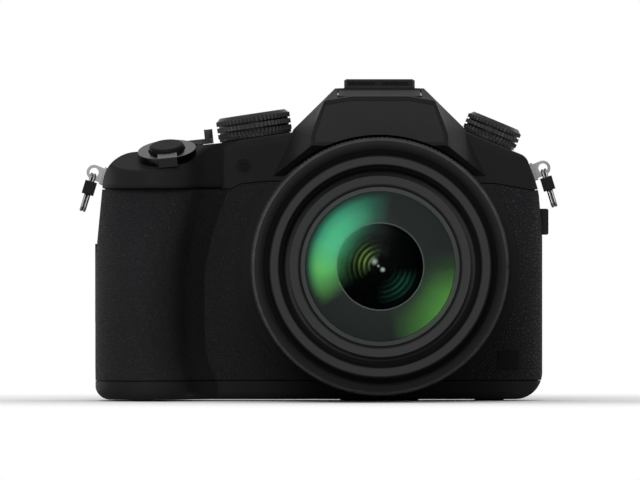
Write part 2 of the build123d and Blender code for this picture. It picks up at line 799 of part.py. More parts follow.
def power_lever():
    """Small turning disc with an upright thumb tab."""
    plane = deck_spot(POWER_X, POWER_Y).offset(RUN_GAP)
    solid = extrude(Circle(POWER_R), amount=POWER_H)
    tab = block((POWER_R - POWER_TAB_L, -POWER_TAB_W / 2, 0), (POWER_R, POWER_TAB_W / 2, POWER_TAB_H))
    tab = fillet(tab.edges().filter_by(Axis.Z), BUTTON_EDGE_R)
    stem = Pos(0, 0, -WALL - BUTTON_ROOT) * extrude(Circle(POWER_TAB_W / 2), amount=WALL + BUTTON_ROOT)
    return plane * (solid + tab + stem)


def zone(x_range=None, y_range=None, z_range=None):
    """A box of space that is limited only where a range is given."""
    far = 2 * BODY_W
    lows, highs = [], []
    for limits in (x_range, y_range, z_range):
        low, high = limits or (None, None)
        lows.append(-far if low is None else low)
        highs.append(far if high is None else high)
    return block(lows, highs)


def screen_middle_z():
    return SCREEN_LOW_Z + SCREEN_H / 2


def screen_box(margin):
    """The room that the folded screen takes, with that margin round it."""
    front = BACK_Y + SCREEN_RISE - SCREEN_T
    low = (SCREEN_RIGHT_X - SCREEN_W - margin, front - margin, SCREEN_LOW_Z - margin)
    high = (SCREEN_RIGHT_X + margin, BACK_Y + SCREEN_RISE, SCREEN_LOW_Z + SCREEN_H + margin)
    return low, high


def screen_column(radius, low, high):
    """A cylinder on the screen's hinge axis."""
    return Pos(SCREEN_HINGE_X, SCREEN_HINGE_Y, low) * extrude(Circle(radius), amount=high - low)


def hinge_notch_r():
    """Room that the screen's arm sweeps round its hinge."""
    return math.hypot(SCREEN_HINGE_X - SCREEN_RIGHT_X, SCREEN_ARM_T / 2) + RUN_GAP


def screen_frame():
    """Frame of the screen, open at the back for its glass."""
    low, high = screen_box(0)
    solid = block(low, high)
    solid = fillet(solid.edges().filter_by(Axis.Y), SCREEN_CORNER_R)
    solid = fillet(solid.faces().sort_by(Axis.Y)[-1].edges(), SCREEN_EDGE_R)
    return solid - screen_glass()


def screen_glass():
    """Glass of the screen, flush with its frame."""
    low, high = screen_box(0)
    glass_low = (low[0] + GLASS_MARGIN, high[1] - SCREEN_GLASS_T, low[2] + GLASS_MARGIN)
    glass_high = (high[0] - GLASS_MARGIN, high[1], high[2] - GLASS_MARGIN)
    return fillet(block(glass_low, glass_high).edges().filter_by(Axis.Y), SCREEN_CORNER_R / 3)


def screen_hinge():
    """Moving knuckle of the screen hinge, with the arm that meets the frame."""
    middle, half = screen_middle_z(), SCREEN_KNUCKLE_L / 2
    solid = screen_column(SCREEN_KNUCKLE_R, middle - half, middle + half)
    arm_low = (SCREEN_RIGHT_X, SCREEN_HINGE_Y - SCREEN_ARM_T / 2, middle - half)
    solid += block(arm_low, (SCREEN_HINGE_X, SCREEN_HINGE_Y + SCREEN_ARM_T / 2, middle + half))
    return solid - screen_column(SCREEN_PIN_R + FIT_GAP, middle - SCREEN_H, middle + SCREEN_H)


def cover_knuckles():
    """Fixed knuckles above and below the moving one."""
    middle, half = screen_middle_z(), SCREEN_KNUCKLE_L / 2 + RUN_GAP
    solids = []
    for low in (middle + half, middle - half - COVER_KNUCKLE_L):
        high = low + COVER_KNUCKLE_L
        root_low = (SCREEN_HINGE_X - SCREEN_KNUCKLE_R, SCREEN_HINGE_Y - 2 * SCREEN_KNUCKLE_R, low)
        root = block(root_low, (SCREEN_HINGE_X + SCREEN_KNUCKLE_R, SCREEN_HINGE_Y, high))
        solids.append(screen_column(SCREEN_KNUCKLE_R, low, high) + root)
    return solids


def screen_pin_ends():
    half = SCREEN_KNUCKLE_L / 2 + RUN_GAP + COVER_KNUCKLE_L
    return screen_middle_z() - half, screen_middle_z() + half


def screen_tray(outer):
    """Walls of the recess that the screen folds into."""
    low, high = screen_box(RUN_GAP + WALL)
    right = SCREEN_HINGE_X + hinge_notch_r() + WALL
    return outer & block(low, (right, BACK_Y, high[2]))


def wheel_place():
    x, z = back_place(WHEEL_SHARES)
    return x, BACK_Y + WHEEL_RISE - WHEEL_R, z


def thumb_wheel():
    """Ribbed wheel that shows its edge through the back."""
    x, y, z = wheel_place()
    solid = knurled(WHEEL_R, DIAL_TOOTH, WHEEL_TEETH, WHEEL_T)
    solid -= extrude(Circle(WHEEL_PIN_R + FIT_GAP), amount=WHEEL_T)
    return Pos(x, y, z - WHEEL_T / 2) * solid


def wheel_slot():
    """Slot for the wheel."""
    x, y, z = wheel_place()
    room = WHEEL_T + 2 * RUN_GAP
    return Pos(x, y, z - room / 2) * extrude(Circle(WHEEL_R + RUN_GAP), amount=room)


def wheel_fork():
    """Pin of the thumb wheel with the plates that hold it above and below."""
    x, y, z = wheel_place()
    room = WHEEL_T + 2 * RUN_GAP
    solid = Pos(x, y, z - room / 2) * extrude(Circle(WHEEL_PIN_R), amount=room)
    for low in (z + room / 2, z - room / 2 - WALL / 2):
        solid += block((x - WHEEL_PIN_R, y, low), (x + WHEEL_PIN_R, BACK_Y - WALL, low + WALL / 2))
        solid += Pos(x, y, low) * extrude(Circle(2 * WHEEL_PIN_R), amount=WALL / 2)
    return solid


def side_door(side, face_x, depth, height, z, rise):
    """A flush rubber door with a round hinge edge at its back, and a raised pad."""
    back = SIDE_DOOR_Y + depth / 2
    half_t = SIDE_DOOR_T / 2
    middle_x = face_x - side * half_t
    low, high = z - height / 2, z + height / 2
    plate = block((middle_x - half_t, back - depth, low), (middle_x + half_t, back - half_t, high))
    plate += Pos(middle_x, back - half_t, z - height / 2) * extrude(Circle(half_t), amount=height)
    margin = SIDE_DOOR_MARGIN
    pad_low = (min(face_x, face_x + side * rise), back - depth, z - height / 2)
    pad_high = (max(face_x, face_x + side * rise), back - margin, z + height / 2)
    pad = block(pad_low, pad_high)
    outer_face = pad.faces().sort_by(Axis.X)[-1 if side > 0 else 0]
    return plate + fillet(outer_face.edges(), rise / 3)


def side_door_pocket(side, face_x, depth, height, z):
    """Pocket with a thin floor for a side door."""
    low = (face_x - side * SIDE_DOOR_T, SIDE_DOOR_Y - depth / 2 - RUN_GAP, z - height / 2 - RUN_GAP)
    high = (face_x + side * OVERRUN, SIDE_DOOR_Y + depth / 2 + RUN_GAP, z + height / 2 + RUN_GAP)
    return block([min(a, b) for a, b in zip(low, high)], [max(a, b) for a, b in zip(low, high)])


def battery_door_box(margin):
    low = (BATTERY_X - DOOR_W / 2 - margin, BATTERY_Y - DOOR_D / 2 - margin, BASE_Z)
    high = (BATTERY_X + DOOR_W / 2 + margin, BATTERY_Y + DOOR_D / 2 + margin, BASE_Z + DOOR_T)
    return low, high


def door_axis():
    """A point on the battery door's hinge axis."""
    return BATTERY_X + DOOR_W / 2 - DOOR_T / 2, BATTERY_Y, BASE_Z + DOOR_T / 2


def door_rod(radius, half):
    x, y, z = door_axis()
    return extrude(front_plane(y + half) * Pos(x, z) * Circle(radius), amount=2 * half)


def battery_door():
    """Door under the grip, with a round hinge edge and a seat for its latch."""
    low, high = battery_door_box(0)
    solid = block(low, (door_axis()[0], high[1], high[2])) + door_rod(DOOR_T / 2, DOOR_D / 2)
    solid -= door_rod(DOOR_PIN_R + FIT_GAP, DOOR_D)
    latch_low, latch_high = latch_box()
    seat_back = latch_high[1] + LATCH_TRAVEL + BUTTON_GAP
    seat_high = (latch_high[0] + BUTTON_GAP, seat_back, latch_high[2] + FIT_GAP)
    return solid - block((latch_low[0] - BUTTON_GAP, latch_low[1] - BUTTON_GAP, BASE_Z - OVERRUN), seat_high)


def latch_box():
    low, _ = battery_door_box(0)
    x = low[0] + LATCH_W / 2
    return (x, BATTERY_Y - LATCH_L / 2, BASE_Z), (x + LATCH_W, BATTERY_Y + LATCH_L / 2, BASE_Z + LATCH_T)


def battery_latch():
    """Sliding latch with three grip grooves."""
    low, high = latch_box()
    solid = block(low, high)
    for i in range(3):
        y = low[1] + (i + 1) * LATCH_L / 4
        groove_low = (low[0] + LATCH_T, y - LATCH_T / 3, low[2] - OVERRUN)
        solid -= block(groove_low, (high[0] - LATCH_T, y + LATCH_T / 3, low[2] + LATCH_T / 3))
    return solid


def eye_middle_z():
    return EYE_LOW_Z + EYE_H / 2


def eyecup():
    """Soft cup that flares back round the eyepiece window."""
    faces = []
    for y, grow in ((HUMP_END_Y, -EYE_FLARE), (HUMP_END_Y + EYE_L, 0)):
        shape = RectangleRounded(EYE_W + 2 * grow, EYE_H + 2 * grow, EYE_CORNER_R)
        faces.append(back_plane(y) * Pos(0, eye_middle_z()) * shape)
    holes = []
    for y, grow in ((HUMP_END_Y - OVERRUN, 0), (HUMP_END_Y + EYE_L / 3, 0)):
        shape = RectangleRounded(EYE_WINDOW_W + grow, EYE_WINDOW_H + grow, EYE_CORNER_R / 2)
        holes.append(back_plane(y) * Pos(0, eye_middle_z()) * shape)
    for y, grow in ((HUMP_END_Y + EYE_L / 3, 0), (HUMP_END_Y + EYE_L + OVERRUN, 4 * EYE_FLARE)):
        shape = RectangleRounded(EYE_WINDOW_W + grow, EYE_WINDOW_H + grow, EYE_CORNER_R / 2)
        holes.append(back_plane(y) * Pos(0, eye_middle_z()) * shape)
    solid = loft(faces)
    solid = fillet(solid.faces().sort_by(Axis.Y)[-1].edges(), EYE_FLARE / 2)
    return solid - loft(holes[:2], ruled=True) - loft(holes[2:], ruled=True)


def eye_window(margin, y_front, y_back):
    half_w, half_h = EYE_WINDOW_W / 2 + margin, EYE_WINDOW_H / 2 + margin
    z = eye_middle_z()
    return block((-half_w, y_front, z - half_h), (half_w, y_back, z + half_h))


def diopter_plane():
    """On the side of the eyepiece housing, facing the plain side."""
    share = (DIOPTER_Y - HUMP_REAR_Y) / (HUMP_END_Y - HUMP_REAR_Y)
    x_mid, x_end = MID_HUMP_SHARES[1][0] * HUMP_HALF_W, END_HUMP_SHARES[1][0] * HUMP_HALF_W
    z_mid, z_end = MID_HUMP_SHARES[1][1] * HUMP_H, END_HUMP_SHARES[1][1] * HUMP_H
    x = x_mid + share * (x_end - x_mid)
    z = HUMP_LOW_Z + z_mid + share * (z_end - z_mid)
    return Plane(origin=(x - DIOPTER_T, DIOPTER_Y, z), x_dir=(0, 1, 0), z_dir=(1, 0, 0))


def lens_barrel():
    """Fixed barrel: mounting flange, body, thin sleeve under the ring and front bezel."""
    bore = SLEEVE_R - SLEEVE_T
    flange_front = FRONT_Y - FLANGE_L
    bezel_back = RING_FRONT_Y - RUN_GAP
    solid = tube(FLANGE_R, bore, FRONT_Y, flange_front)
    solid += tube(BARREL_R, bore, flange_front, RING_BACK_Y + RUN_GAP)
    solid += tube(SLEEVE_R, bore, RING_BACK_Y + RUN_GAP, bezel_back)
    bezel = tube(BEZEL_R, bore, bezel_back, bezel_back - BEZEL_L)
    outer = bezel.faces().sort_by(Axis.Y)[0].edges().sort_by(SortBy.LENGTH)[-1]
    solid += chamfer(outer, BEZEL_L / 3)
    return solid


def control_ring():
    """Ribbed ring that turns on the sleeve, between two lower plain bands."""
    solid = tube(RING_R - RING_TOOTH, 0, RING_BACK_Y, RING_FRONT_Y)
    ribs = knurled(RING_R, RING_TOOTH, RING_TEETH, RING_BACK_Y - RING_FRONT_Y - 2 * RING_BAND_L)
    solid += front_plane(RING_BACK_Y - RING_BAND_L) * Pos(0, LENS_Z) * ribs
    return solid - tube(SLEEVE_R + FIT_GAP, 0, RING_BACK_Y + OVERRUN, RING_FRONT_Y - OVERRUN)


def middle_tube():
    """First sliding tube of the zoom."""
    outer = SLEEVE_R - SLEEVE_T - FIT_GAP
    front = RING_FRONT_Y - RUN_GAP - BEZEL_L - 2 * RUN_GAP
    return tube(outer, outer - MIDDLE_T, TUBE_BACK_Y, front)


def front_tube_r():
    return SLEEVE_R - SLEEVE_T - MIDDLE_T - 2 * FIT_GAP


def front_tube():
    """Second sliding tube, with the filter thread's wall at its mouth."""
    outer = front_tube_r()
    seat_y = LENS_FRONT_Y + FILTER_L
    solid = tube(outer, outer - FRONT_TUBE_T, TUBE_BACK_Y - FRONT_TUBE_T, seat_y + FRONT_TUBE_T)
    solid += tube(outer, FILTER_SEAT_R, seat_y + FRONT_TUBE_T, seat_y)
    mouth = tube(outer, FILTER_R, seat_y, LENS_FRONT_Y)
    rim = mouth.faces().sort_by(Axis.Y)[0].edges().sort_by(SortBy.LENGTH)[-1]
    return solid + chamfer(rim, (outer - FILTER_R) / 4)


def name_ring():
    """Bare trim ring round the front glass, on the plate that holds it in the tube."""
    rim_y = LENS_FRONT_Y + NAME_RING_DEPTH
    inner_y = rim_y + NAME_RING_FALL
    seat_y = inner_y + GLASS_T
    wall = front_tube_r() - FRONT_TUBE_T - FIT_GAP
    points = [(GLASS_R, inner_y), (NAME_RING_R, rim_y), (NAME_RING_R, inner_y + NAME_RING_T)]
    points += [(wall, inner_y + NAME_RING_T), (wall, seat_y), (GLASS_R, seat_y)]
    return spun(points)


def spun(points):
    """Turns an outline of radius and depth round the lens axis."""
    face = make_face(Polyline(*[(r, y, LENS_Z) for r, y in points], close=True))
    return revolve(face, Axis((0, 0, LENS_Z), (0, 1, 0)), 360)


def dome(radius, dome_r, apex_y, depth):
    """A disc of glass with a domed front."""
    ball = Pos(0, apex_y + dome_r, LENS_Z) * Sphere(dome_r)
    return tube(radius, 0, apex_y + depth, apex_y) & ball


def front_lens():
    """Large front element: domed in front, hollow behind."""
    radius = GLASS_R - FIT_GAP
    sag = GLASS_DOME_R - math.sqrt(GLASS_DOME_R ** 2 - radius ** 2)
    edge_y = LENS_FRONT_Y + NAME_RING_DEPTH + NAME_RING_FALL + FIT_GAP
    solid = dome(radius, GLASS_DOME_R, edge_y - sag, GLASS_T)
    back_y = edge_y - sag + GLASS_T
    hollow_sag = GLASS_HOLLOW_R - math.sqrt(GLASS_HOLLOW_R ** 2 - radius ** 2)
    return solid - Pos(0, back_y - hollow_sag + GLASS_HOLLOW_R, LENS_Z) * Sphere(GLASS_HOLLOW_R)


def inner_lens():
    """Second element, deep behind the front one."""
    return dome(INNER_GLASS_R - FIT_GAP, INNER_GLASS_DOME_R, LENS_FRONT_Y + INNER_GLASS_DEPTH, INNER_GLASS_T)


def lens_cell():
    """Stepped cone between the two elements, in the front tube."""
    wall = front_tube_r() - FRONT_TUBE_T - FIT_GAP
    start = LENS_FRONT_Y + NAME_RING_DEPTH + NAME_RING_FALL + GLASS_T
    glass_y = LENS_FRONT_Y + INNER_GLASS_DEPTH
    end = glass_y + INNER_GLASS_T + INNER_CELL_T
    lip = INNER_GLASS_R + INNER_CELL_T
    points = [(BAFFLE_R, start), (wall, start), (wall, start + INNER_CELL_T)]
    points += [(BAFFLE_R + INNER_CELL_T, start + INNER_CELL_T), (lip, glass_y), (lip, end), (INNER_GLASS_R, end), (INNER_GLASS_R, glass_y)]
    return spun(points)


def eyelet_frame(side, shares):
    """Where an eyelet's ring is, with its outward and lengthwise directions."""
    lean = math.radians(EYELET_LEAN_DEG)
    out = Vector(side * math.cos(lean), 0, math.sin(lean))
    centre = Vector(GRIP_SIDE_X + shares[0] * BODY_W, EYELET_Y, BASE_Z + shares[1] * DECK_H)
    return centre, out


def eyelet(side, shares):
    """Strap lug: a ring on a foot that is let into the cover."""
    centre, out = eyelet_frame(side, shares)
    plane = Plane(origin=centre, x_dir=out, z_dir=(0, -1, 0))
    half = EYELET_T / 2
    solid = plane.offset(-half) * extrude(Circle(EYELET_R), amount=EYELET_T)
    foot_low = (-EYELET_OUT - EYELET_ROOT, -EYELET_FOOT_L / 2, -EYELET_FOOT_W / 2)
    foot = plane * block(foot_low, (-EYELET_OUT + EYELET_FOOT_T / 2, EYELET_FOOT_L / 2, EYELET_FOOT_W / 2))
    neck = plane * block((-EYELET_OUT, -EYELET_R, -half), (0, EYELET_R, half))
    return solid + foot + neck - plane.offset(-half) * extrude(Circle(EYELET_HOLE_R), amount=EYELET_T)


def ring_plane(side, shares):
    """Plane of a hanging strap ring: local x is Y, local y runs up the ring."""
    centre, _ = eyelet_frame(side, shares)
    lean = math.radians(RING_LEAN_DEG)
    up = Vector(-side * math.sin(lean), 0, math.cos(lean))
    return Plane(origin=centre - up * WIRE_SEAT, x_dir=(0, 1, 0), z_dir=Vector(0, 1, 0).cross(up))


def strap_ring(side, shares):
    """Three-cornered wire ring of two turns, threaded through the eyelet."""
    plane = ring_plane(side, shares)
    top, bottom = RING_TOP_W / 2, RING_BOTTOM_W / 2
    points = [(-top, 0), (top, 0), (bottom, -RING_DROP), (-bottom, -RING_DROP)]
    solid = None
    for shift in (-WIRE_TURN, WIRE_TURN):
        path = plane.offset(shift) * FilletPolyline(*points, radius=WIRE_BEND_R, close=True)
        wire = Wire(path.edges())
        start = wire @ 0
        turn = sweep(Plane(origin=start, z_dir=wire % 0) * Circle(WIRE_R), path=wire)
        solid = turn if solid is None else solid + turn
    return solid


def ring_guard(side, shares):
    """Black plate on the ring that keeps it off the casing."""
    low, high = -GUARD_DROP, GUARD_H - GUARD_DROP
    box = block((-GUARD_D / 2, low, -GUARD_W / 2), (GUARD_D / 2, high, GUARD_W / 2))
    return ring_plane(side, shares) * fillet(box.edges().filter_by(Axis.Z), WIRE_R)


def screw_places():
    places = []
    for x, y in SCREW_SHARES:
        places.append((GRIP_SIDE_X + x * BODY_W, y * (BACK_Y - FRONT_Y)))
    return places


def screw(x, y, margin):
    """A countersunk-flush screw from below, without its cross."""
    head = Pos(x, y, BASE_Z) * extrude(Circle(SCREW_R + margin), amount=SCREW_HEAD_H + margin)
    return head + Pos(x, y, BASE_Z) * extrude(Circle(SCREW_R / 2 + margin), amount=SCREW_L)


def leather_region(x_range):
    """Where a leather panel lies: above the base, under the parting line and round the lens."""
    space = zone(x_range=x_range, y_range=(None, SEAM_Y - SEAM_GAP / 2), z_range=(LEATHER_LOW_Z, None))
    space -= above_parting(-LEATHER_TOP_GAP)
    return space - tube(LEATHER_CUT_R, 0, 0, FRONT_Y - GRIP_DEPTH - OVERRUN)


def badge_place(margin):
    low = (BADGE_X - margin, FRONT_Y - BADGE_PROUD, BADGE_Z - margin)
    return block(low, (BADGE_X + BADGE_W + margin, FRONT_Y + LEATHER_T, BADGE_Z + BADGE_H + margin))


def chassis():
    """Metal plate behind the front cover, with posts that carry the main board."""
    front = FRONT_Y + WALL
    solid = block((CHASSIS_LEFT_X, front, CHASSIS_LOW_Z), (CHASSIS_RIGHT_X, front + CHASSIS_T, CHASSIS_TOP_Z))
    solid -= tube(REAR_GROUP_R + RUN_GAP, 0, BACK_Y, FRONT_Y)
    for x in (CHASSIS_LEFT_X + 2 * POST_R, CHASSIS_RIGHT_X - 2 * POST_R):
        for z in (CHASSIS_LOW_Z + 2 * POST_R, CHASSIS_TOP_Z - 2 * POST_R):
            solid += tube(POST_R, 0, BOARD_Y, front, x, z)
    return solid


def save(name, shape):
    """Writes one named piece."""
    solids = shape.solids()
    print(name, len(solids), round(sum(s.volume for s in solids), 2), all(s.is_valid for s in solids))
    export_step(shape if len(solids) > 1 else solids[0], f"parts/{name}.step")


def group(shapes):
    """Separate solids of one node."""
    return Compound(children=[solid for shape in shapes for solid in shape.solids()])


def save_lens():
    save("lens_barrel", lens_barrel())
    save("control_ring", control_ring())
    save("middle_tube", middle_tube())
    save("front_tube", front_tube())
    save("name_ring", name_ring())
    save("front_lens", front_lens())
    save("lens_cell", lens_cell())
    save("inner_lens", inner_lens())
    back = FRONT_Y + WALL + CHASSIS_T
    save("rear_lens_group", tube(REAR_GROUP_R, 0, back, back - REAR_GROUP_L))


def save_controls():
    save("mode_dial", dial(mode_plane(), MODE_R, MODE_H, MODE_TEETH))
    save("drive_dial", dial(drive_plane(), DRIVE_R, DRIVE_H, DRIVE_TEETH))
    save("zoom_lever", zoom_lever())
    save("shutter_button", shutter_button())
    save("power_lever", power_lever())
    save("record_button", round_button(deck_spot(RECORD_X, RECORD_Y), RECORD_R, RECORD_RISE))
    small = (("playback", PLAYBACK_SHARES), ("display", DISPLAY_SHARES), ("delete", DELETE_SHARES))
    for name, shares in small:
        save(f"{name}_button", round_button(back_button_plane(shares), SMALL_BUTTON_R, BACK_RISE))
    lock_plane = back_button_plane(LOCK_SHARES)
    save("lock_button", round_button(lock_plane, LOCK_R, FOCUS_LEVER_H + BACK_RISE))
    lever = extrude(Circle(FOCUS_LEVER_R) - Circle(LOCK_R + BUTTON_GAP), amount=FOCUS_LEVER_H)
    tab = block((0, -FOCUS_TAB_W / 2, 0), (FOCUS_LEVER_R + FOCUS_TAB_REACH, FOCUS_TAB_W / 2, FOCUS_TAB_H))
    tab -= extrude(Circle(LOCK_R + 2 * BUTTON_GAP), amount=FOCUS_TAB_H)
    save("focus_lever", lock_plane.offset(RUN_GAP / 2) * (lever + tab))
    pad_plane = back_button_plane(PAD_SHARES)
    pad = extrude(Circle(PAD_R) - Circle(SET_R + BUTTON_GAP), amount=PAD_RISE)
    pad = fillet(pad.faces().sort_by(Axis.Z)[-1].edges(), BUTTON_EDGE_R)
    save("cursor_pad", pad_plane.offset(RUN_GAP + PAD_DISH) * pad)
    save("set_button", round_button(pad_plane, SET_R, RUN_GAP + PAD_DISH + SET_RISE))
    save("thumb_wheel", thumb_wheel())
    save("diopter_dial", diopter_plane() * (knurled(DIOPTER_R, DIAL_TOOTH, DIOPTER_TEETH, DIOPTER_T)))


def save_screen_and_doors():
    save("screen_frame", screen_frame())
    save("screen_glass", screen_glass())
    save("screen_hinge", screen_hinge())
    save("battery_door", battery_door())
    save("battery_latch", battery_latch())
    save("mic_door", side_door(1, PLAIN_SIDE_X, MIC_DOOR_D, MIC_DOOR_H, MIC_DOOR_Z, SIDE_DOOR_RISE))
    save("port_door", side_door(-1, GRIP_SIDE_X, PORT_DOOR_D, PORT_DOOR_H, PORT_DOOR_Z, PORT_DOOR_RISE))
    save("flash_lid", flash_lid())
    save("flash_window", flash_window(FIT_GAP))


def save_strap_parts():
    lefts, rights = (-1, LEFT_EYELET_SHARES), (1, RIGHT_EYELET_SHARES)
    save("strap_lugs", group([eyelet(*lefts), eyelet(*rights)]))
    for name, place in (("left", lefts), ("right", rights)):
        ring = strap_ring(*place)
        save(f"strap_ring_{name}", ring)
        save(f"ring_guard_{name}", ring_guard(*place) - ring)


def save_inside():
    save("chassis", chassis())
    front = FRONT_Y + WALL + CHASSIS_T
    half_w, half_h = SENSOR_W / 2, SENSOR_H / 2
    save("sensor_unit", block((-half_w, front, LENS_Z - half_h), (half_w, front + SENSOR_T, LENS_Z + half_h)))
    board_high = (CHASSIS_RIGHT_X, BOARD_Y + BOARD_T, CHASSIS_TOP_Z)
    save("main_board", block((CHASSIS_LEFT_X, BOARD_Y, CHASSIS_LOW_Z), board_high))
    low = BASE_Z + DOOR_T + RUN_GAP
    cell = Pos(BATTERY_X, BATTERY_Y, low + BATTERY_H / 2) * Box(BATTERY_W, BATTERY_D, BATTERY_H)
    save("battery", cell)
    end = HUMP_END_Y - WALL
    save("finder_unit", eye_window(0, end - FINDER_L, end))
    save("eyepiece_lens", eye_window(-BUTTON_GAP, end, end + EYE_LENS_T))
    save("eyecup", eyecup())
    low_pin, high_pin = screen_pin_ends()
    pins = [screen_column(SCREEN_PIN_R, low_pin, high_pin)]
    pins.append(flash_pin(FLASH_PIN_R, FLASH_HALF_W + RUN_GAP + WALL / 2))
    pins.append(door_rod(DOOR_PIN_R, DOOR_D / 2 + RUN_GAP + WALL))
    pins.append(wheel_fork())
    save("hinge_pins", group(pins))
    save("screws", group([screw(x, y, 0) for x, y in screw_places()]))
    socket = Cylinder(TRIPOD_BODY_R, TRIPOD_L + WALL, align=(Align.CENTER, Align.CENTER, Align.MIN))
    save("tripod_socket", socket - extrude(Circle(TRIPOD_R), amount=TRIPOD_L))
    save("hot_shoe", shoe())
    save("mic_grille", mic_grille())
    lamp = tube(LAMP_R, 0, FRONT_Y + WALL, FRONT_Y + LAMP_RECESS, LAMP_X, LAMP_Z)
    save("af_lamp", lamp)


def save_covers():
    """Cuts the casing into its covers, skins and plates."""
    outer, skin_bed, inner = casing(0), casing(LEATHER_T), casing(WALL)
    shell = outer - inner
    half_gap = SEAM_GAP / 2

    mic_pocket = side_door_pocket(1, PLAIN_SIDE_X, MIC_DOOR_D, MIC_DOOR_H, MIC_DOOR_Z)
    port_pocket = side_door_pocket(-1, GRIP_SIDE_X, PORT_DOOR_D, PORT_DOOR_H, PORT_DOOR_Z)
    lugs = [eyelet(-1, LEFT_EYELET_SHARES), eyelet(1, RIGHT_EYELET_SHARES)]

    grip_room = leather_region((None, GRIP_LEATHER_RIGHT_X)) - skin_bed
    side_room = leather_region((SIDE_LEATHER_LEFT_X, None)) - skin_bed
    grip_skin = (outer & grip_room) - port_pocket
    side_skin = (outer & side_room) - mic_pocket
    badge = badge_place(0)
    side_skin -= badge_place(0)
    save("grip_leather", grip_skin)
    save("side_leather", side_skin)
    save("badge_plate", badge)

    # The covers meet in the inner half of the wall, and a fine groove runs round each seam outside it
    above = above_parting(0)
    groove = above_parting(-half_gap) - above_parting(half_gap)
    groove += zone(z_range=(BOTTOM_COVER_TOP_Z - half_gap, BOTTOM_COVER_TOP_Z + half_gap))
    groove += zone(y_range=(SEAM_Y - half_gap, SEAM_Y + half_gap), z_range=(BOTTOM_COVER_TOP_Z, None)) - above
    groove -= skin_bed
    top = (shell & above) - groove
    below = shell - above
    bottom = (below & zone(z_range=(None, BOTTOM_COVER_TOP_Z))) - groove
    upper = (below & zone(z_range=(BOTTOM_COVER_TOP_Z, None))) - groove
    front = upper & zone(y_range=(None, SEAM_Y))
    rear = upper & zone(y_range=(SEAM_Y, None))

    front = front - grip_room - side_room - badge - mic_pocket - port_pocket
    front -= tube(LENS_HOLE_R, 0, 0, FRONT_Y - OVERRUN)
    save("front_cover", front)

    plate = fascia_plane(FASCIA_T)
    fascia_room = plate * Pos(0, 0, FASCIA_T) * Box(2 * BODY_W, 2 * BODY_W, 2 * FASCIA_T)
    fascia_face = hump_outline(FRONT_HUMP_SHARES, HUMP_FRONT_Y - OVERRUN, FASCIA_MARGIN)
    fascia_prism = extrude(fascia_face, amount=-HUMP_H)
    fascia = outer & fascia_room & fascia_prism & zone(y_range=(None, FLASH_HINGE_Y - FLASH_L - 2 * RUN_GAP))
    save("fascia_plate", fascia)

    well = flash_well(RUN_GAP)
    top += (flash_well(RUN_GAP + WALL / 2) & hump_form(0)) - well
    top = top - well - fascia + crest()
    top = top - shoe_seat() - mic_plane().offset(-MIC_T) * extrude(
        Rectangle(2 * CREST_HALF_W - 2 * MIC_T, math.hypot(CREST_SLOPE, CREST_H) - 2 * MIC_T), amount=OVERRUN)
    top -= flash_pin(FLASH_PIN_R + FIT_GAP, FLASH_HALF_W + 2 * WALL)
    top -= eye_window(0, HUMP_END_Y - WALL, HUMP_END_Y + OVERRUN)
    for plane, radius in ((mode_plane(), MODE_R), (drive_plane(), DRIVE_R), (slope_plane(), ZOOM_RING_R)):
        top -= button_hole(plane, DIAL_STEM_R)
        top -= plane * extrude(Circle(radius + RUN_GAP), amount=OVERRUN)
    top -= button_hole(deck_spot(POWER_X, POWER_Y), POWER_TAB_W / 2)
    top -= button_hole(deck_spot(RECORD_X, RECORD_Y), RECORD_R)
    top -= button_hole(back_button_plane(LOCK_SHARES), LOCK_R)
    top -= wheel_slot()
    top -= diopter_plane().offset(-RUN_GAP) * extrude(Circle(DIOPTER_R + RUN_GAP), amount=OVERRUN)
    top -= tube(LAMP_R, 0, 0, FRONT_Y - OVERRUN, LAMP_X, LAMP_Z)
    top -= tube(LAMP_RIM_R, 0, FRONT_Y + LAMP_RECESS, FRONT_Y - OVERRUN, LAMP_X, LAMP_Z)
    for lug in lugs:
        top -= lug
    save("top_cover", top)

    tray = screen_tray(outer)
    rear += tray
    rear -= block(*[list(corner) for corner in (screen_box(RUN_GAP)[0], screen_box(RUN_GAP)[1])])
    low, high = screen_box(RUN_GAP)
    rear -= block((low[0], BACK_Y - RUN_GAP, low[2]), (high[0], BACK_Y + OVERRUN, high[2]))
    middle, half = screen_middle_z(), SCREEN_KNUCKLE_L / 2 + RUN_GAP
    rear -= screen_column(hinge_notch_r(), middle - half, middle + half)
    for knuckle in cover_knuckles():
        rear += knuckle
    low_pin, high_pin = screen_pin_ends()
    rear -= screen_column(SCREEN_PIN_R + FIT_GAP, low_pin - FIT_GAP, high_pin + FIT_GAP)
    for shares in (PLAYBACK_SHARES, DISPLAY_SHARES, DELETE_SHARES):
        rear -= button_hole(back_button_plane(shares), SMALL_BUTTON_R)
    rear -= button_hole(back_button_plane(PAD_SHARES), SET_R)
    save("rear_cover", rear)

    x, z = back_place(THUMB_REST_SHARES)
    rest = Pos(x, BACK_Y + THUMB_REST_RISE / 2, z) * Box(THUMB_REST_W, THUMB_REST_RISE, THUMB_REST_H)
    rest = fillet(rest.edges().filter_by(Axis.Y), EYE_CORNER_R)
    save("thumb_rest", fillet(rest.faces().sort_by(Axis.Y)[-1].edges(), THUMB_REST_RISE / 2))

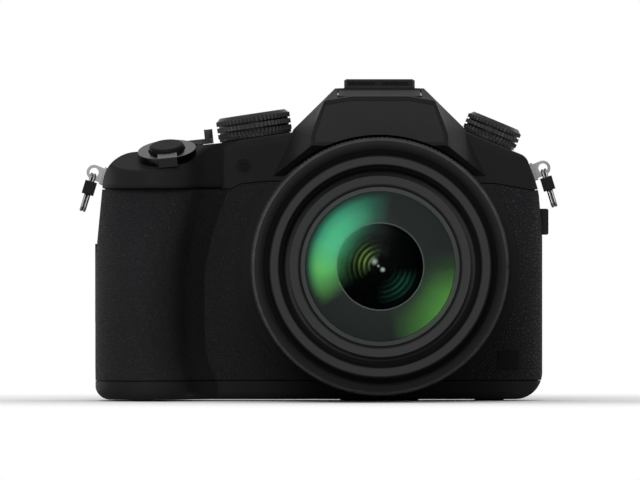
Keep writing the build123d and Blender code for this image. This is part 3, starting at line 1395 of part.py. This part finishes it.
    bottom += extrude(Circle(TRIPOD_PAD_R), amount=BASE_Z)
    for share in FOOT_X_SHARES:
        bottom += Pos(GRIP_SIDE_X + share * BODY_W, FOOT_Y) * extrude(Circle(FOOT_R), amount=BASE_Z)
    bottom -= Pos(0, 0, -OVERRUN) * extrude(Circle(TRIPOD_BODY_R), amount=4 * OVERRUN)
    low, high = battery_door_box(RUN_GAP)
    bottom -= block((low[0], low[1], -OVERRUN), (high[0], high[1], BASE_Z + WALL + OVERRUN))
    bottom -= door_rod(DOOR_PIN_R + FIT_GAP, DOOR_D / 2 + RUN_GAP + WALL + FIT_GAP)
    for x, y in screw_places():
        bottom -= screw(x, y, FIT_GAP)
    save("bottom_cover", bottom)


def main():
    os.makedirs("parts", exist_ok=True)
    save_lens()
    save_controls()
    save_screen_and_doors()
    save_strap_parts()
    save_inside()
    save_covers()


if __name__ == "__main__":
    main()
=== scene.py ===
import json
import math

import bpy
from mathutils import Matrix, Vector


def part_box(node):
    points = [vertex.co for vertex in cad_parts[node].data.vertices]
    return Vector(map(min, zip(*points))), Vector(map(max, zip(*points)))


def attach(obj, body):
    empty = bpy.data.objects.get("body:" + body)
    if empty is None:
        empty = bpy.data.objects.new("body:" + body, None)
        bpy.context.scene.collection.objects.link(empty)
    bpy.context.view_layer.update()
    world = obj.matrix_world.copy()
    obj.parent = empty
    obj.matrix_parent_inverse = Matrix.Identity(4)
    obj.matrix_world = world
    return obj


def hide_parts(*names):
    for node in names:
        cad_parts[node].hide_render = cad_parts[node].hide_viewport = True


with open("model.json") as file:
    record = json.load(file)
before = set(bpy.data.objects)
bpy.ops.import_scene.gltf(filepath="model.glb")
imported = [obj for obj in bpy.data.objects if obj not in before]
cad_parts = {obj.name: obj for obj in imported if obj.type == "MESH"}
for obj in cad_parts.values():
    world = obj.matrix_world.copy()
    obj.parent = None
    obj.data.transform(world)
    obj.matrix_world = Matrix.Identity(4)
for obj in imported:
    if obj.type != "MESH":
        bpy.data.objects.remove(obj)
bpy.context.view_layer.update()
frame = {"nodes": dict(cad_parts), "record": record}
nodes = frame["nodes"]

MM = 0.001
SMOOTH_DEG = 32
LENS_Z = 41.2 * MM

# Camera: the photograph's scale, seen from far away
VIEW_X = -18.2 * MM
VIEW_Z = 49.2 * MM
VIEW_DISTANCE = 6.0
VIEW_FOCAL = 1100

# How strongly plastic and rubber mirror their surroundings, and knurled plastic
SHEEN = 0.012
CREST_SHEEN = 0.08

# The middle part of a noise texture's values, where nearly all of them lie
NOISE_LOW, NOISE_HIGH = 0.3, 0.7

# Stretch of the brush lines of metal, along z, along y and along no axis
LINES_Z = (1, 1, 0.1)
LINES_Y = (1, 0.1, 1)
EVEN = (1, 1, 1)


def seen_directly(tree):
    """1 for the rays of the camera, of mirrors and of clear glass, which see plain white, and 0 for all others."""
    path = tree.nodes.new("ShaderNodeLightPath")
    seen = path.outputs["Is Camera Ray"]
    for kind in ("Is Glossy Ray", "Is Transmission Ray"):
        either = tree.nodes.new("ShaderNodeMath")
        either.operation = "MAXIMUM"
        tree.links.new(seen, either.inputs[0])
        tree.links.new(path.outputs[kind], either.inputs[1])
        seen = either.outputs[0]
    return seen


class Nodes:
    """A material's node tree with short ways to add and link its nodes."""

    def __init__(self, name):
        self.material = bpy.data.materials.new(name)
        self.material.use_nodes = True
        self.tree = self.material.node_tree
        self.tree.nodes.clear()
        self.output = self.add("ShaderNodeOutputMaterial")
        self.coords = self.add("ShaderNodeTexCoord").outputs["Object"]

    def add(self, kind, **settings):
        node = self.tree.nodes.new(kind)
        for key, value in settings.items():
            if key.startswith("in_"):
                node.inputs[key[3:].replace("_", " ")].default_value = value
            else:
                setattr(node, key, value)
        return node

    def link(self, source, target):
        self.tree.links.new(source, target)

    def scaled(self, factors):
        mapping = self.add("ShaderNodeMapping")
        mapping.inputs["Scale"].default_value = factors
        self.link(self.coords, mapping.inputs["Vector"])
        return mapping.outputs["Vector"]

    def noise(self, scale, detail=4.0, rough=0.6, vector=None):
        node = self.add("ShaderNodeTexNoise", in_Scale=scale, in_Detail=detail, in_Roughness=rough)
        self.link(vector or self.coords, node.inputs["Vector"])
        return node.outputs["Fac"]

    def cell_edges(self, scale, vector):
        """Distance to the nearest border between irregular cells."""
        node = self.add("ShaderNodeTexVoronoi", feature="DISTANCE_TO_EDGE", in_Scale=scale)
        self.link(vector, node.inputs["Vector"])
        return node.outputs["Distance"]

    def spread(self, value, low, high, new_low, new_high):
        node = self.add("ShaderNodeMapRange")
        limits = {"From Min": low, "From Max": high, "To Min": new_low, "To Max": new_high}
        for socket, number in limits.items():
            node.inputs[socket].default_value = number
        self.link(value, node.inputs["Value"])
        return node.outputs["Result"]

    def blend(self, factor, dark, light):
        """Mixes two colours, each given as numbers or as another node's output."""
        node = self.add("ShaderNodeMix", data_type="RGBA")
        for socket, colour in ((node.inputs[6], dark), (node.inputs[7], light)):
            if isinstance(colour, bpy.types.NodeSocket):
                self.link(colour, socket)
            else:
                socket.default_value = (*colour, 1)
        self.link(factor, node.inputs[0])
        return node.outputs[2]

    def maths(self, operation, first, second=None):
        """One sum; each term is a number or another node's output."""
        node = self.add("ShaderNodeMath", operation=operation)
        for socket, value in zip(node.inputs, (first, second)):
            if isinstance(value, bpy.types.NodeSocket):
                self.link(value, socket)
            elif value is not None:
                socket.default_value = value
        return node.outputs[0]

    def band(self, value, rise, full, fade, end):
        """A share that rises from 0 to 1, stays there, and falls back to 0."""
        rising = self.spread(value, rise, full, 0, 1)
        falling = self.spread(value, fade, end, 1, 0)
        return self.maths("MULTIPLY", rising, falling)

    def round_lens(self):
        """Distance from the lens axis, and the angle in degrees round it from the grip side over the top."""
        split = self.add("ShaderNodeSeparateXYZ")
        self.link(self.coords, split.inputs[0])
        up = self.maths("SUBTRACT", split.outputs["Z"], LENS_Z)
        across = split.outputs["X"]
        squares = [self.maths("MULTIPLY", part, part) for part in (across, up)]
        radius = self.maths("SQRT", self.maths("ADD", *squares))
        angle = self.maths("ARCTAN2", up, self.maths("MULTIPLY", across, -1.0))
        return radius, self.maths("MULTIPLY", angle, 180 / math.pi)

    def bump(self, height, strength, distance, normal=None):
        node = self.add("ShaderNodeBump", in_Strength=strength, in_Distance=distance)
        self.link(height, node.inputs["Height"])
        if normal:
            self.link(normal, node.inputs["Normal"])
        return node.outputs["Normal"]

    def crests(self, low, high):
        """How far a point lies on a convex edge, from 0 to 1."""
        return self.spread(self.add("ShaderNodeNewGeometry").outputs["Pointiness"], low, high, 0.0, 1.0)

    def soft_edges(self, radius):
        return self.add("ShaderNodeBevel", samples=4, in_Radius=radius).outputs["Normal"]

    def surface(self, **settings):
        shader = self.add("ShaderNodeBsdfPrincipled", **settings)
        self.link(shader.outputs["BSDF"], self.output.inputs["Surface"])
        return shader

    def mix_shaders(self, factor, first, second):
        node = self.add("ShaderNodeMixShader")
        self.link(factor, node.inputs[0])
        self.link(first, node.inputs[1])
        self.link(second, node.inputs[2])
        return node.outputs[0]


def shades(tone, darker, lighter):
    """The tone made darker and lighter by two factors."""
    return [c * darker for c in tone], [c * lighter for c in tone]


def plastic(name, tone, rough, grain, depth, edge=0.35 * MM):
    """Moulded plastic with a spark-eroded grain, faint wear and softened edges."""
    n = Nodes(name)
    shader = n.surface(in_Specular_IOR_Level=SHEEN)
    patch = n.noise(60, 3)
    fine = n.noise(grain, 2, 0.7)
    n.link(n.blend(patch, *shades(tone, 0.85, 1.2)), shader.inputs["Base Color"])
    n.link(n.spread(fine, NOISE_LOW, NOISE_HIGH, rough - 0.06, rough + 0.08), shader.inputs["Roughness"])
    n.link(n.bump(fine, 0.5, depth, n.soft_edges(edge)), shader.inputs["Normal"])
    return n.material


def knurled(name, tone, glint_tone, rough):
    """Moulded plastic whose ribs and edges are painted lighter, as painted highlights."""
    n = Nodes(name)
    shader = n.surface(in_Specular_IOR_Level=CREST_SHEEN)
    fine = n.noise(3800, 2, 0.7)
    # Painted highlight: the convex ribs and edges are painted lighter, broken up by the fine noise
    painted_glint = n.maths("MULTIPLY", n.crests(0.51, 0.6), n.spread(fine, 0.3, 0.6, 0.6, 1.0))
    n.link(n.blend(painted_glint, tone, glint_tone), shader.inputs["Base Color"])
    n.link(n.spread(fine, NOISE_LOW, NOISE_HIGH, rough - 0.06, rough + 0.08), shader.inputs["Roughness"])
    n.link(n.bump(fine, 0.4, 0.00003, n.soft_edges(0.12 * MM)), shader.inputs["Normal"])
    return n.material


def banded_painted_shade(name, tone, light_tone, radii):
    """Lens plastic painted with light and shade: lighter, and mirroring faintly, between given distances in mm from
    the lens axis, and darker without reflection elsewhere, where the barrel lies in shade.
    """
    n = Nodes(name)
    shader = n.surface()
    fine = n.noise(4200, 2, 0.7)
    radius, _ = n.round_lens()
    share = n.band(radius, *[r * MM for r in radii])
    # Painted shade: the reflection is turned off outside the band
    n.link(n.maths("MULTIPLY", share, SHEEN), shader.inputs["Specular IOR Level"])
    share = n.maths("MULTIPLY", share, n.spread(fine, NOISE_LOW, NOISE_HIGH, 0.85, 1.0))
    n.link(n.blend(share, tone, light_tone), shader.inputs["Base Color"])
    n.link(n.spread(fine, NOISE_LOW, NOISE_HIGH, 0.34, 0.46), shader.inputs["Roughness"])
    n.link(n.bump(fine, 0.4, 0.00002, n.soft_edges(0.2 * MM)), shader.inputs["Normal"])
    return n.material


def leather(name, tone, cell, depth, rough):
    """Rubber skin with a pebbled leather grain."""
    n = Nodes(name)
    shader = n.surface(in_Specular_IOR_Level=SHEEN)
    # The pebbles' borders wander by about a millimetre, and fine creases lie over them
    drift = n.noise(cell * 0.5, 2)
    wandering = n.add("ShaderNodeVectorMath", operation="MULTIPLY_ADD")
    wandering.inputs[1].default_value = (0.0011, 0.0011, 0.0011)
    n.link(drift, wandering.inputs[0])
    n.link(n.coords, wandering.inputs[2])
    pebbles = n.cell_edges(cell, wandering.outputs[0])
    domes = n.spread(pebbles, 0.0, 0.32, 0.0, 1.0)
    creases = n.noise(cell * 3.0, 3)
    height = n.add("ShaderNodeMath", operation="MULTIPLY_ADD")
    height.inputs[1].default_value = 0.25
    n.link(creases, height.inputs[0])
    n.link(domes, height.inputs[2])
    n.link(n.blend(domes, *shades(tone, 0.6, 1.2)), shader.inputs["Base Color"])
    n.link(n.spread(domes, 0, 1, rough + 0.15, rough), shader.inputs["Roughness"])
    n.link(n.bump(height.outputs[0], 0.9, depth, n.soft_edges(0.4 * MM)), shader.inputs["Normal"])
    return n.material


def metal(name, tone, rough, stretch, edge=0.2 * MM):
    """Metal with fine brush lines along one way."""
    n = Nodes(name)
    shader = n.surface(in_Metallic=1.0)
    lines = n.noise(900, 2, 0.6, n.scaled(stretch))
    n.link(n.blend(lines, [c * 0.8 for c in tone], tone), shader.inputs["Base Color"])
    n.link(n.spread(lines, NOISE_LOW, NOISE_HIGH, rough * 0.8, rough * 1.3), shader.inputs["Roughness"])
    n.link(n.bump(lines, 0.15, 0.00002, n.soft_edges(edge)), shader.inputs["Normal"])
    return n.material


def glass_with_painted_reflections(name, tint, index, painted_reflections, rings=0.0, painted_highlights=()):
    """Clear glass with painted reflections of its coatings in given areas (see the front lens's list below), broken
    into rings, and round painted white highlights.
    """
    n = Nodes(name)
    smudge = n.noise(30, 3)
    clear = n.add("ShaderNodeBsdfTransparent")
    n.link(n.blend(smudge, [c * 0.94 for c in tint], tint), clear.inputs["Color"])
    radius, angle = n.round_lens()
    # The painted reflections start from a dark green that varies with the smudges
    colour = n.blend(smudge, (0.02, 0.05, 0.04), (0.03, 0.06, 0.05))
    share = 0.0
    # Each patch paints a reflection of the coatings onto the glass as a flat colour
    for paint, strength, radii, angles in painted_reflections:
        cover = n.maths("MULTIPLY", n.band(radius, *[r * MM for r in radii]), n.band(angle, *angles))
        if rings:
            wave = n.maths("SINE", n.maths("MULTIPLY", radius, rings))
            cover = n.maths("MULTIPLY", cover, n.spread(wave, -0.4, 1.0, 0.3, 1.0))
        cover = n.maths("MULTIPLY", cover, strength)
        colour = n.blend(cover, colour, paint)
        share = n.maths("MAXIMUM", share, cover)
    # Each of these paints a round white highlight onto the glass
    for x, z, size in painted_highlights:
        offset = n.add("ShaderNodeVectorMath", operation="MULTIPLY_ADD")
        offset.inputs[1].default_value = (1, 0, 1)
        offset.inputs[2].default_value = (-x * MM, 0, -LENS_Z - z * MM)
        n.link(n.coords, offset.inputs[0])
        distance = n.add("ShaderNodeVectorMath", operation="LENGTH")
        n.link(offset.outputs[0], distance.inputs[0])
        cover = n.spread(distance.outputs["Value"], 0.2 * size * MM, size * MM, 1, 0)
        colour = n.blend(cover, colour, (1, 1, 1))
        share = n.maths("MAXIMUM", share, cover)
    # The painted reflections show as a matte colour in place of the clear glass
    reflection_paint = n.add("ShaderNodeBsdfDiffuse")
    n.link(colour, reflection_paint.inputs["Color"])
    painted_glass = n.mix_shaders(share, clear.outputs[0], reflection_paint.outputs[0])
    gloss = n.add("ShaderNodeBsdfGlossy")
    n.link(n.blend(smudge, (0.8, 0.85, 0.9), (0.9, 0.95, 1.0)), gloss.inputs["Color"])
    n.link(n.spread(smudge, NOISE_LOW, NOISE_HIGH, 0.16, 0.2), gloss.inputs["Roughness"])
    mirrored = n.add("ShaderNodeFresnel", in_IOR=index).outputs[0]
    n.link(n.mix_shaders(mirrored, painted_glass, gloss.outputs[0]), n.output.inputs["Surface"])
    return n.material


def board(name):
    """Circuit board with tracks under green lacquer."""
    n = Nodes(name)
    shader = n.surface(in_Roughness=0.35)
    tracks = n.add("ShaderNodeTexBrick", in_Scale=220.0)
    n.link(n.coords, tracks.inputs["Vector"])
    n.link(n.blend(tracks.outputs["Fac"], (0.02, 0.12, 0.05), (0.05, 0.2, 0.09)), shader.inputs["Base Color"])
    n.link(n.bump(tracks.outputs["Fac"], 0.3, 0.0001), shader.inputs["Normal"])
    return n.material


# Colours of the reflections painted on the lens glass: coloured ones from the coatings, grey ones as painted sheen
# over the glass and at its rim
TEAL = (0.12, 0.7, 0.32)
DEEP_TEAL = (0.045, 0.32, 0.2)
OLIVE = (0.22, 0.78, 0.13)
LIME = (0.7, 1.0, 0.22)
VEIL = (0.021, 0.0215, 0.022)
GREY = (0.065, 0.066, 0.066)
PALE_GREY = (0.16, 0.165, 0.165)

# Angles past the half turn on both sides, as a range whose two ends are equal gives 0 everywhere
ALL_ROUND = (-182, -181, 181, 182)

# Painted reflections on the front lens: colour, strength, then the radii in mm and the angles in degrees of the
# start, the plateau and the end
FRONT_PAINTED_REFLECTIONS = [
    (VEIL, 0.85, (13.1, 13.5, 22.4, 22.7), ALL_ROUND),
    (PALE_GREY, 0.6, (12.95, 13.1, 13.3, 13.45), ALL_ROUND),
    (DEEP_TEAL, 0.8, (9.0, 16.0, 20.0, 22.6), (-30, 20, 50, 100)),
    (OLIVE, 0.5, (8.0, 17.0, 19.0, 22.0), (-36, -4, 2, 26)),
    (TEAL, 0.55, (7.0, 14.5, 17.5, 21.5), (-14, 22, 34, 84)),
    # One patch in two rows, because the angle jumps from 180 to -180 inside it
    (OLIVE, 0.4, (13.0, 23.4, 24.0, 24.2), (-184, -156, -140, -100)),
    (OLIVE, 0.4, (13.0, 23.4, 24.0, 24.2), (165, 270, 300, 301)),
    (GREY, 0.9, (22.5, 22.9, 24.1, 24.3), ALL_ROUND),
]
# Painted reflections on the inner lenses, in the same columns
INNER_PAINTED_REFLECTIONS = [
    (LIME, 0.95, (1.5, 4.2, 6.5, 13.2), (-40, 18, 44, 100)),
    (DEEP_TEAL, 0.65, (4.0, 8.0, 10.0, 12.6), (-179, -150, -130, -80)),
]
# Painted white highlights on the inner lenses: place across and up from the lens axis, and radius, in mm
INNER_PAINTED_HIGHLIGHTS = [(-1.7, 1.5, 1.5), (-0.5, 0.1, 0.6), (0.8, -1.0, 1.1)]
# How fast the rings that break up the inner lenses' painted reflections follow each other, in radians per metre
INNER_RINGS = 4200.0

LENS_BLACK = (0.00575, 0.00575, 0.00621)
LEATHER_TONE = (0.0218, 0.0218, 0.0235)
CONTROL_BLACK = (0.0035, 0.0035, 0.0037)
RIB_BLACK = (0.006, 0.006, 0.0063)

looks = {
    "casing_plastic": plastic("casing_grain", (0.015, 0.015, 0.0157), 0.42, 2600, 0.00006),
    "control_plastic": knurled("control_grain", CONTROL_BLACK, (0.085, 0.085, 0.087), 0.3),
    "gloss_trim": plastic("gloss_grain", (0.0092, 0.0092, 0.00989), 0.22, 900, 0.000004, 0.2 * MM),
    "soft_rubber": plastic("rubber_grain", (0.0161, 0.0161, 0.0172), 0.62, 3000, 0.00003, 0.3 * MM),
    "grip_rubber": leather("fine_leather", LEATHER_TONE, 1500, 0.0002, 0.42),
    "coarse_leather": leather("coarse_leather", LEATHER_TONE, 950, 0.0003, 0.42),
    "wire_chrome": metal("bright_wire", (0.2, 0.2, 0.205), 0.3, LINES_Z, 0.05 * MM),
    "plate_steel": metal("plate_steel", (0.5, 0.5, 0.51), 0.3, LINES_Y),
    "shoe_metal": plastic("shoe_lacquer", (0.0055, 0.0055, 0.0058), 0.5, 1800, 0.00005, 0.1 * MM),
    "chassis_metal": metal("cast_metal", (0.5, 0.5, 0.5), 0.5, EVEN),
    "socket_brass": metal("turned_brass", (0.7, 0.52, 0.26), 0.3, LINES_Z),
    "optic_glass": glass_with_painted_reflections("glass_with_painted_reflections", (0.86, 0.9, 0.88), 1.05, FRONT_PAINTED_REFLECTIONS),
    "inner_glass": glass_with_painted_reflections("inner_glass", (0.7, 0.75, 0.72), 1.1, INNER_PAINTED_REFLECTIONS, INNER_RINGS, INNER_PAINTED_HIGHLIGHTS),
    "cover_glass": plastic("smoked_glass", (0.0138, 0.0138, 0.0161), 0.1, 200, 0.000002, 0.1 * MM),
    "lamp_lens": plastic("lamp_glass", (0.0092, 0.00805, 0.00805), 0.25, 600, 0.00001, 0.1 * MM),
    "lip_plastic": banded_painted_shade("lip_grain", LENS_BLACK, (0.034, 0.034, 0.035), (30.6, 30.9, 33.0, 33.5)),
    "ring_plastic": banded_painted_shade("ring_grain", LENS_BLACK, (0.0207, 0.0207, 0.0214), (35.2, 38.0, 50.0, 51.0)),
    "ring_ribs": knurled("rib_grain", RIB_BLACK, (0.11, 0.11, 0.112), 0.3),
    "fascia_grain": plastic("fascia_grain", (0.026, 0.026, 0.0265), 0.5, 1500, 0.00008, 0.2 * MM),
    "name_plate": banded_painted_shade("name_grain", (0.01, 0.01, 0.0103), (0.044, 0.044, 0.046), (24.6, 25.2, 28.5, 28.9)),
    "polished_ring": metal("polished_ring", (0.026, 0.026, 0.027), 0.22, LINES_Z),
    "baffle_black": plastic("baffle_black", (0.00345, 0.00345, 0.00368), 0.5, 5000, 0.000004, 0.1 * MM),
    "board_resin": board("green_board"),
    "cell_wrap": plastic("cell_wrap", (0.08, 0.08, 0.09), 0.4, 800, 0.00001),
}

# Nodes whose look differs from that of their material slot
special = {
    "control_ring": "ring_ribs",
    "fascia_plate": "fascia_grain",
    "front_tube": "lip_plastic",
    "inner_lens": "inner_glass",
    "lens_barrel": "ring_plastic",
    "lens_cell": "baffle_black",
    "mic_grille": "baffle_black",
    "middle_tube": "ring_plastic",
    "name_ring": "name_plate",
    "rear_lens_group": "inner_glass",
    "side_leather": "coarse_leather",
    "strap_lugs": "wire_chrome",
    "zoom_lever": "polished_ring",
}
slot_of = {part["node"]: part["material_slot"] for part in frame["record"]["subparts"]}
for name, node in nodes.items():
    look = looks[special.get(name, slot_of[name])]
    node.data.materials.clear()
    node.data.materials.append(look)

bpy.ops.object.select_all(action="DESELECT")
for node in nodes.values():
    node.select_set(True)
bpy.context.view_layer.objects.active = next(iter(nodes.values()))
bpy.ops.object.shade_smooth_by_angle(angle=math.radians(SMOOTH_DEG))


def closed_loops(name, points, loops, sides):
    """A mesh of rings of points, each joined to the next and the last to the first."""
    faces = []
    for r in range(loops):
        here, after = r * sides, (r + 1) % loops * sides
        for i in range(sides):
            j = (i + 1) % sides
            faces.append((here + i, here + j, after + j, after + i))
    mesh = bpy.data.meshes.new(name)
    mesh.from_pydata(points, [], faces)
    return mesh


def place(name, data):
    """An object that shows a mesh, a lamp or a camera."""
    thing = bpy.data.objects.new(name, data)
    bpy.context.scene.collection.objects.link(thing)
    return thing


# The soft eyecup: rings of a rounded rectangle joined from the mount out over the lip and back in
CUP_SIDES = 64
CORNER_POWER = 0.45
WINDOW_HALF_W = 10.0 * MM
WINDOW_HALF_H = 5.5 * MM
# Share of the length, share from the window to the outer edge
CUP_SHARES = [(0.0, 0.0), (0.0, 0.72), (0.12, 0.8), (0.2, 0.72), (0.3, 0.72), (0.5, 0.83), (0.75, 0.95),
              (0.92, 1.0), (1.0, 0.94), (1.0, 0.8), (0.94, 0.62), (0.7, 0.42), (0.45, 0.22), (0.3, 0.06)]

low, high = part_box("eyecup")
cup_middle_z = (low[2] + high[2]) / 2
cup_half_w = (high[0] - low[0]) / 2
cup_half_h = (high[2] - low[2]) / 2
cup_length = high[1] - low[1]

points = []
for along, out in CUP_SHARES:
    half_w = WINDOW_HALF_W + out * (cup_half_w - WINDOW_HALF_W)
    half_h = WINDOW_HALF_H + out * (cup_half_h - WINDOW_HALF_H)
    for i in range(CUP_SIDES):
        angle = 2 * math.pi * i / CUP_SIDES
        c, s = math.cos(angle), math.sin(angle)
        x = math.copysign(abs(c) ** CORNER_POWER, c) * half_w
        z = math.copysign(abs(s) ** CORNER_POWER, s) * half_h
        points.append((x, low[1] + along * cup_length, cup_middle_z + z))
cup_mesh = closed_loops("eyecup_rubber", points, len(CUP_SHARES), CUP_SIDES)
cup_mesh.update()
for polygon in cup_mesh.polygons:
    polygon.use_smooth = True
cup_mesh.materials.append(looks["soft_rubber"])
cup = place("eyecup_rubber", cup_mesh)
smoother = cup.modifiers.new("smooth", "SUBSURF")
smoother.levels = 1
smoother.render_levels = 1
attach(cup, "camera_body")
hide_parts("eyecup")

# Rubber washers that close the running gap under the two top dials, in mm
WASHER_SIDES = 96
WASHER_HOLE_R = 3.4
WASHER_LOW, WASHER_HIGH = -0.05, 0.27
WASHER_EDGE = 0.06
# Place on the deck, slope of the deck in degrees, radius
WASHERS = [((-37.898, 2.0, 80.5), 8.55, 10.6), ((33.306, 2.0, 79.599), -22.57, 7.9)]
for number, (seat, slope, radius) in enumerate(WASHERS):
    profile = [(WASHER_HOLE_R, WASHER_LOW), (radius, WASHER_LOW), (radius, WASHER_HIGH - WASHER_EDGE),
               (radius - WASHER_EDGE, WASHER_HIGH), (WASHER_HOLE_R, WASHER_HIGH)]
    points = []
    for reach, height in profile:
        for i in range(WASHER_SIDES):
            turn = 2 * math.pi * i / WASHER_SIDES
            points.append((reach * math.cos(turn) * MM, reach * math.sin(turn) * MM, height * MM))
    washer_mesh = closed_loops(f"dial_washer_{number}", points, len(profile), WASHER_SIDES)
    washer_mesh.transform(Matrix.Rotation(-math.radians(slope), 4, "Y"))
    washer_mesh.transform(Matrix.Translation([c * MM for c in seat]))
    washer_mesh.materials.append(looks["soft_rubber"])
    washer = place(f"dial_washer_{number}", washer_mesh)
    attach(washer, "camera_body")

# The floor, in metres: shaded near the object, and plain white further out
SPAN = 6.0
FLOOR_LIT = 0.1
FLOOR_WHITE = 0.28
floor_mesh = bpy.data.meshes.new("floor")
floor_mesh.from_pydata([(-SPAN, -SPAN, 0), (SPAN, -SPAN, 0), (SPAN, SPAN, 0), (-SPAN, SPAN, 0)], [], [(0, 1, 2, 3)])
floor = place("floor", floor_mesh)
n = Nodes("pale_floor")
pale = n.surface(in_Roughness=0.9)
n.link(n.blend(n.noise(2), (0.9, 0.9, 0.9), (0.94, 0.94, 0.94)), pale.inputs["Base Color"])
reach = n.add("ShaderNodeVectorMath", operation="LENGTH")
n.link(n.coords, reach.inputs[0])
far = n.spread(reach.outputs["Value"], FLOOR_LIT, FLOOR_WHITE, 0.0, 1.0)
white = n.add("ShaderNodeEmission")
white.inputs["Color"].default_value = (1, 1, 1, 1)
plain_white = n.maths("MULTIPLY", far, seen_directly(n.tree))
n.link(n.mix_shaders(plain_white, pale.outputs[0], white.outputs[0]), n.output.inputs["Surface"])
floor_mesh.materials.append(n.material)

# Softboxes that face the object: name, place, width and height in metres, and watts
AIM = Vector((0, -0.02, 0.05))
SOFTBOXES = [
    ("left_box", (-1.0, 0.65, 0.25), 0.6, 0.6, 3),
    ("right_box", (1.0, 0.65, 0.25), 0.6, 0.6, 4),
    ("front_box", (-0.12, -1.1, 0.45), 0.45, 0.35, 6.5),
    ("top_box", (0.0, 0.1, 1.1), 1.2, 0.9, 2),
]
for name, spot, width, height, watts in SOFTBOXES:
    lamp = bpy.data.lights.new(name, "AREA")
    lamp.shape = "RECTANGLE"
    lamp.size = width
    lamp.size_y = height
    lamp.energy = watts
    holder = place(name, lamp)
    holder.location = spot
    holder.rotation_euler = (AIM - Vector(spot)).to_track_quat("-Z", "Y").to_euler()

# The world is white where it is seen, and lights the object with less
WORLD_LIGHT = 0.4
world = bpy.data.worlds.new("white")
bpy.context.scene.world = world
world.use_nodes = True
tree = world.node_tree
tree.nodes.clear()
strength = tree.nodes.new("ShaderNodeMapRange")
strength.inputs["To Min"].default_value = WORLD_LIGHT
strength.inputs["To Max"].default_value = 1.0
tree.links.new(seen_directly(tree), strength.inputs["Value"])
background = tree.nodes.new("ShaderNodeBackground")
background.inputs["Color"].default_value = (1, 1, 1, 1)
tree.links.new(strength.outputs["Result"], background.inputs["Strength"])
tree.links.new(background.outputs[0], tree.nodes.new("ShaderNodeOutputWorld").inputs["Surface"])

camera_data = bpy.data.cameras.new("camera")
camera_data.lens = VIEW_FOCAL
camera = place("camera", camera_data)
camera.location = (VIEW_X, -VIEW_DISTANCE, VIEW_Z)
camera.rotation_euler = (math.radians(90), 0, 0)
bpy.context.scene.camera = camera
bpy.context.scene.view_settings.view_transform = "Standard"
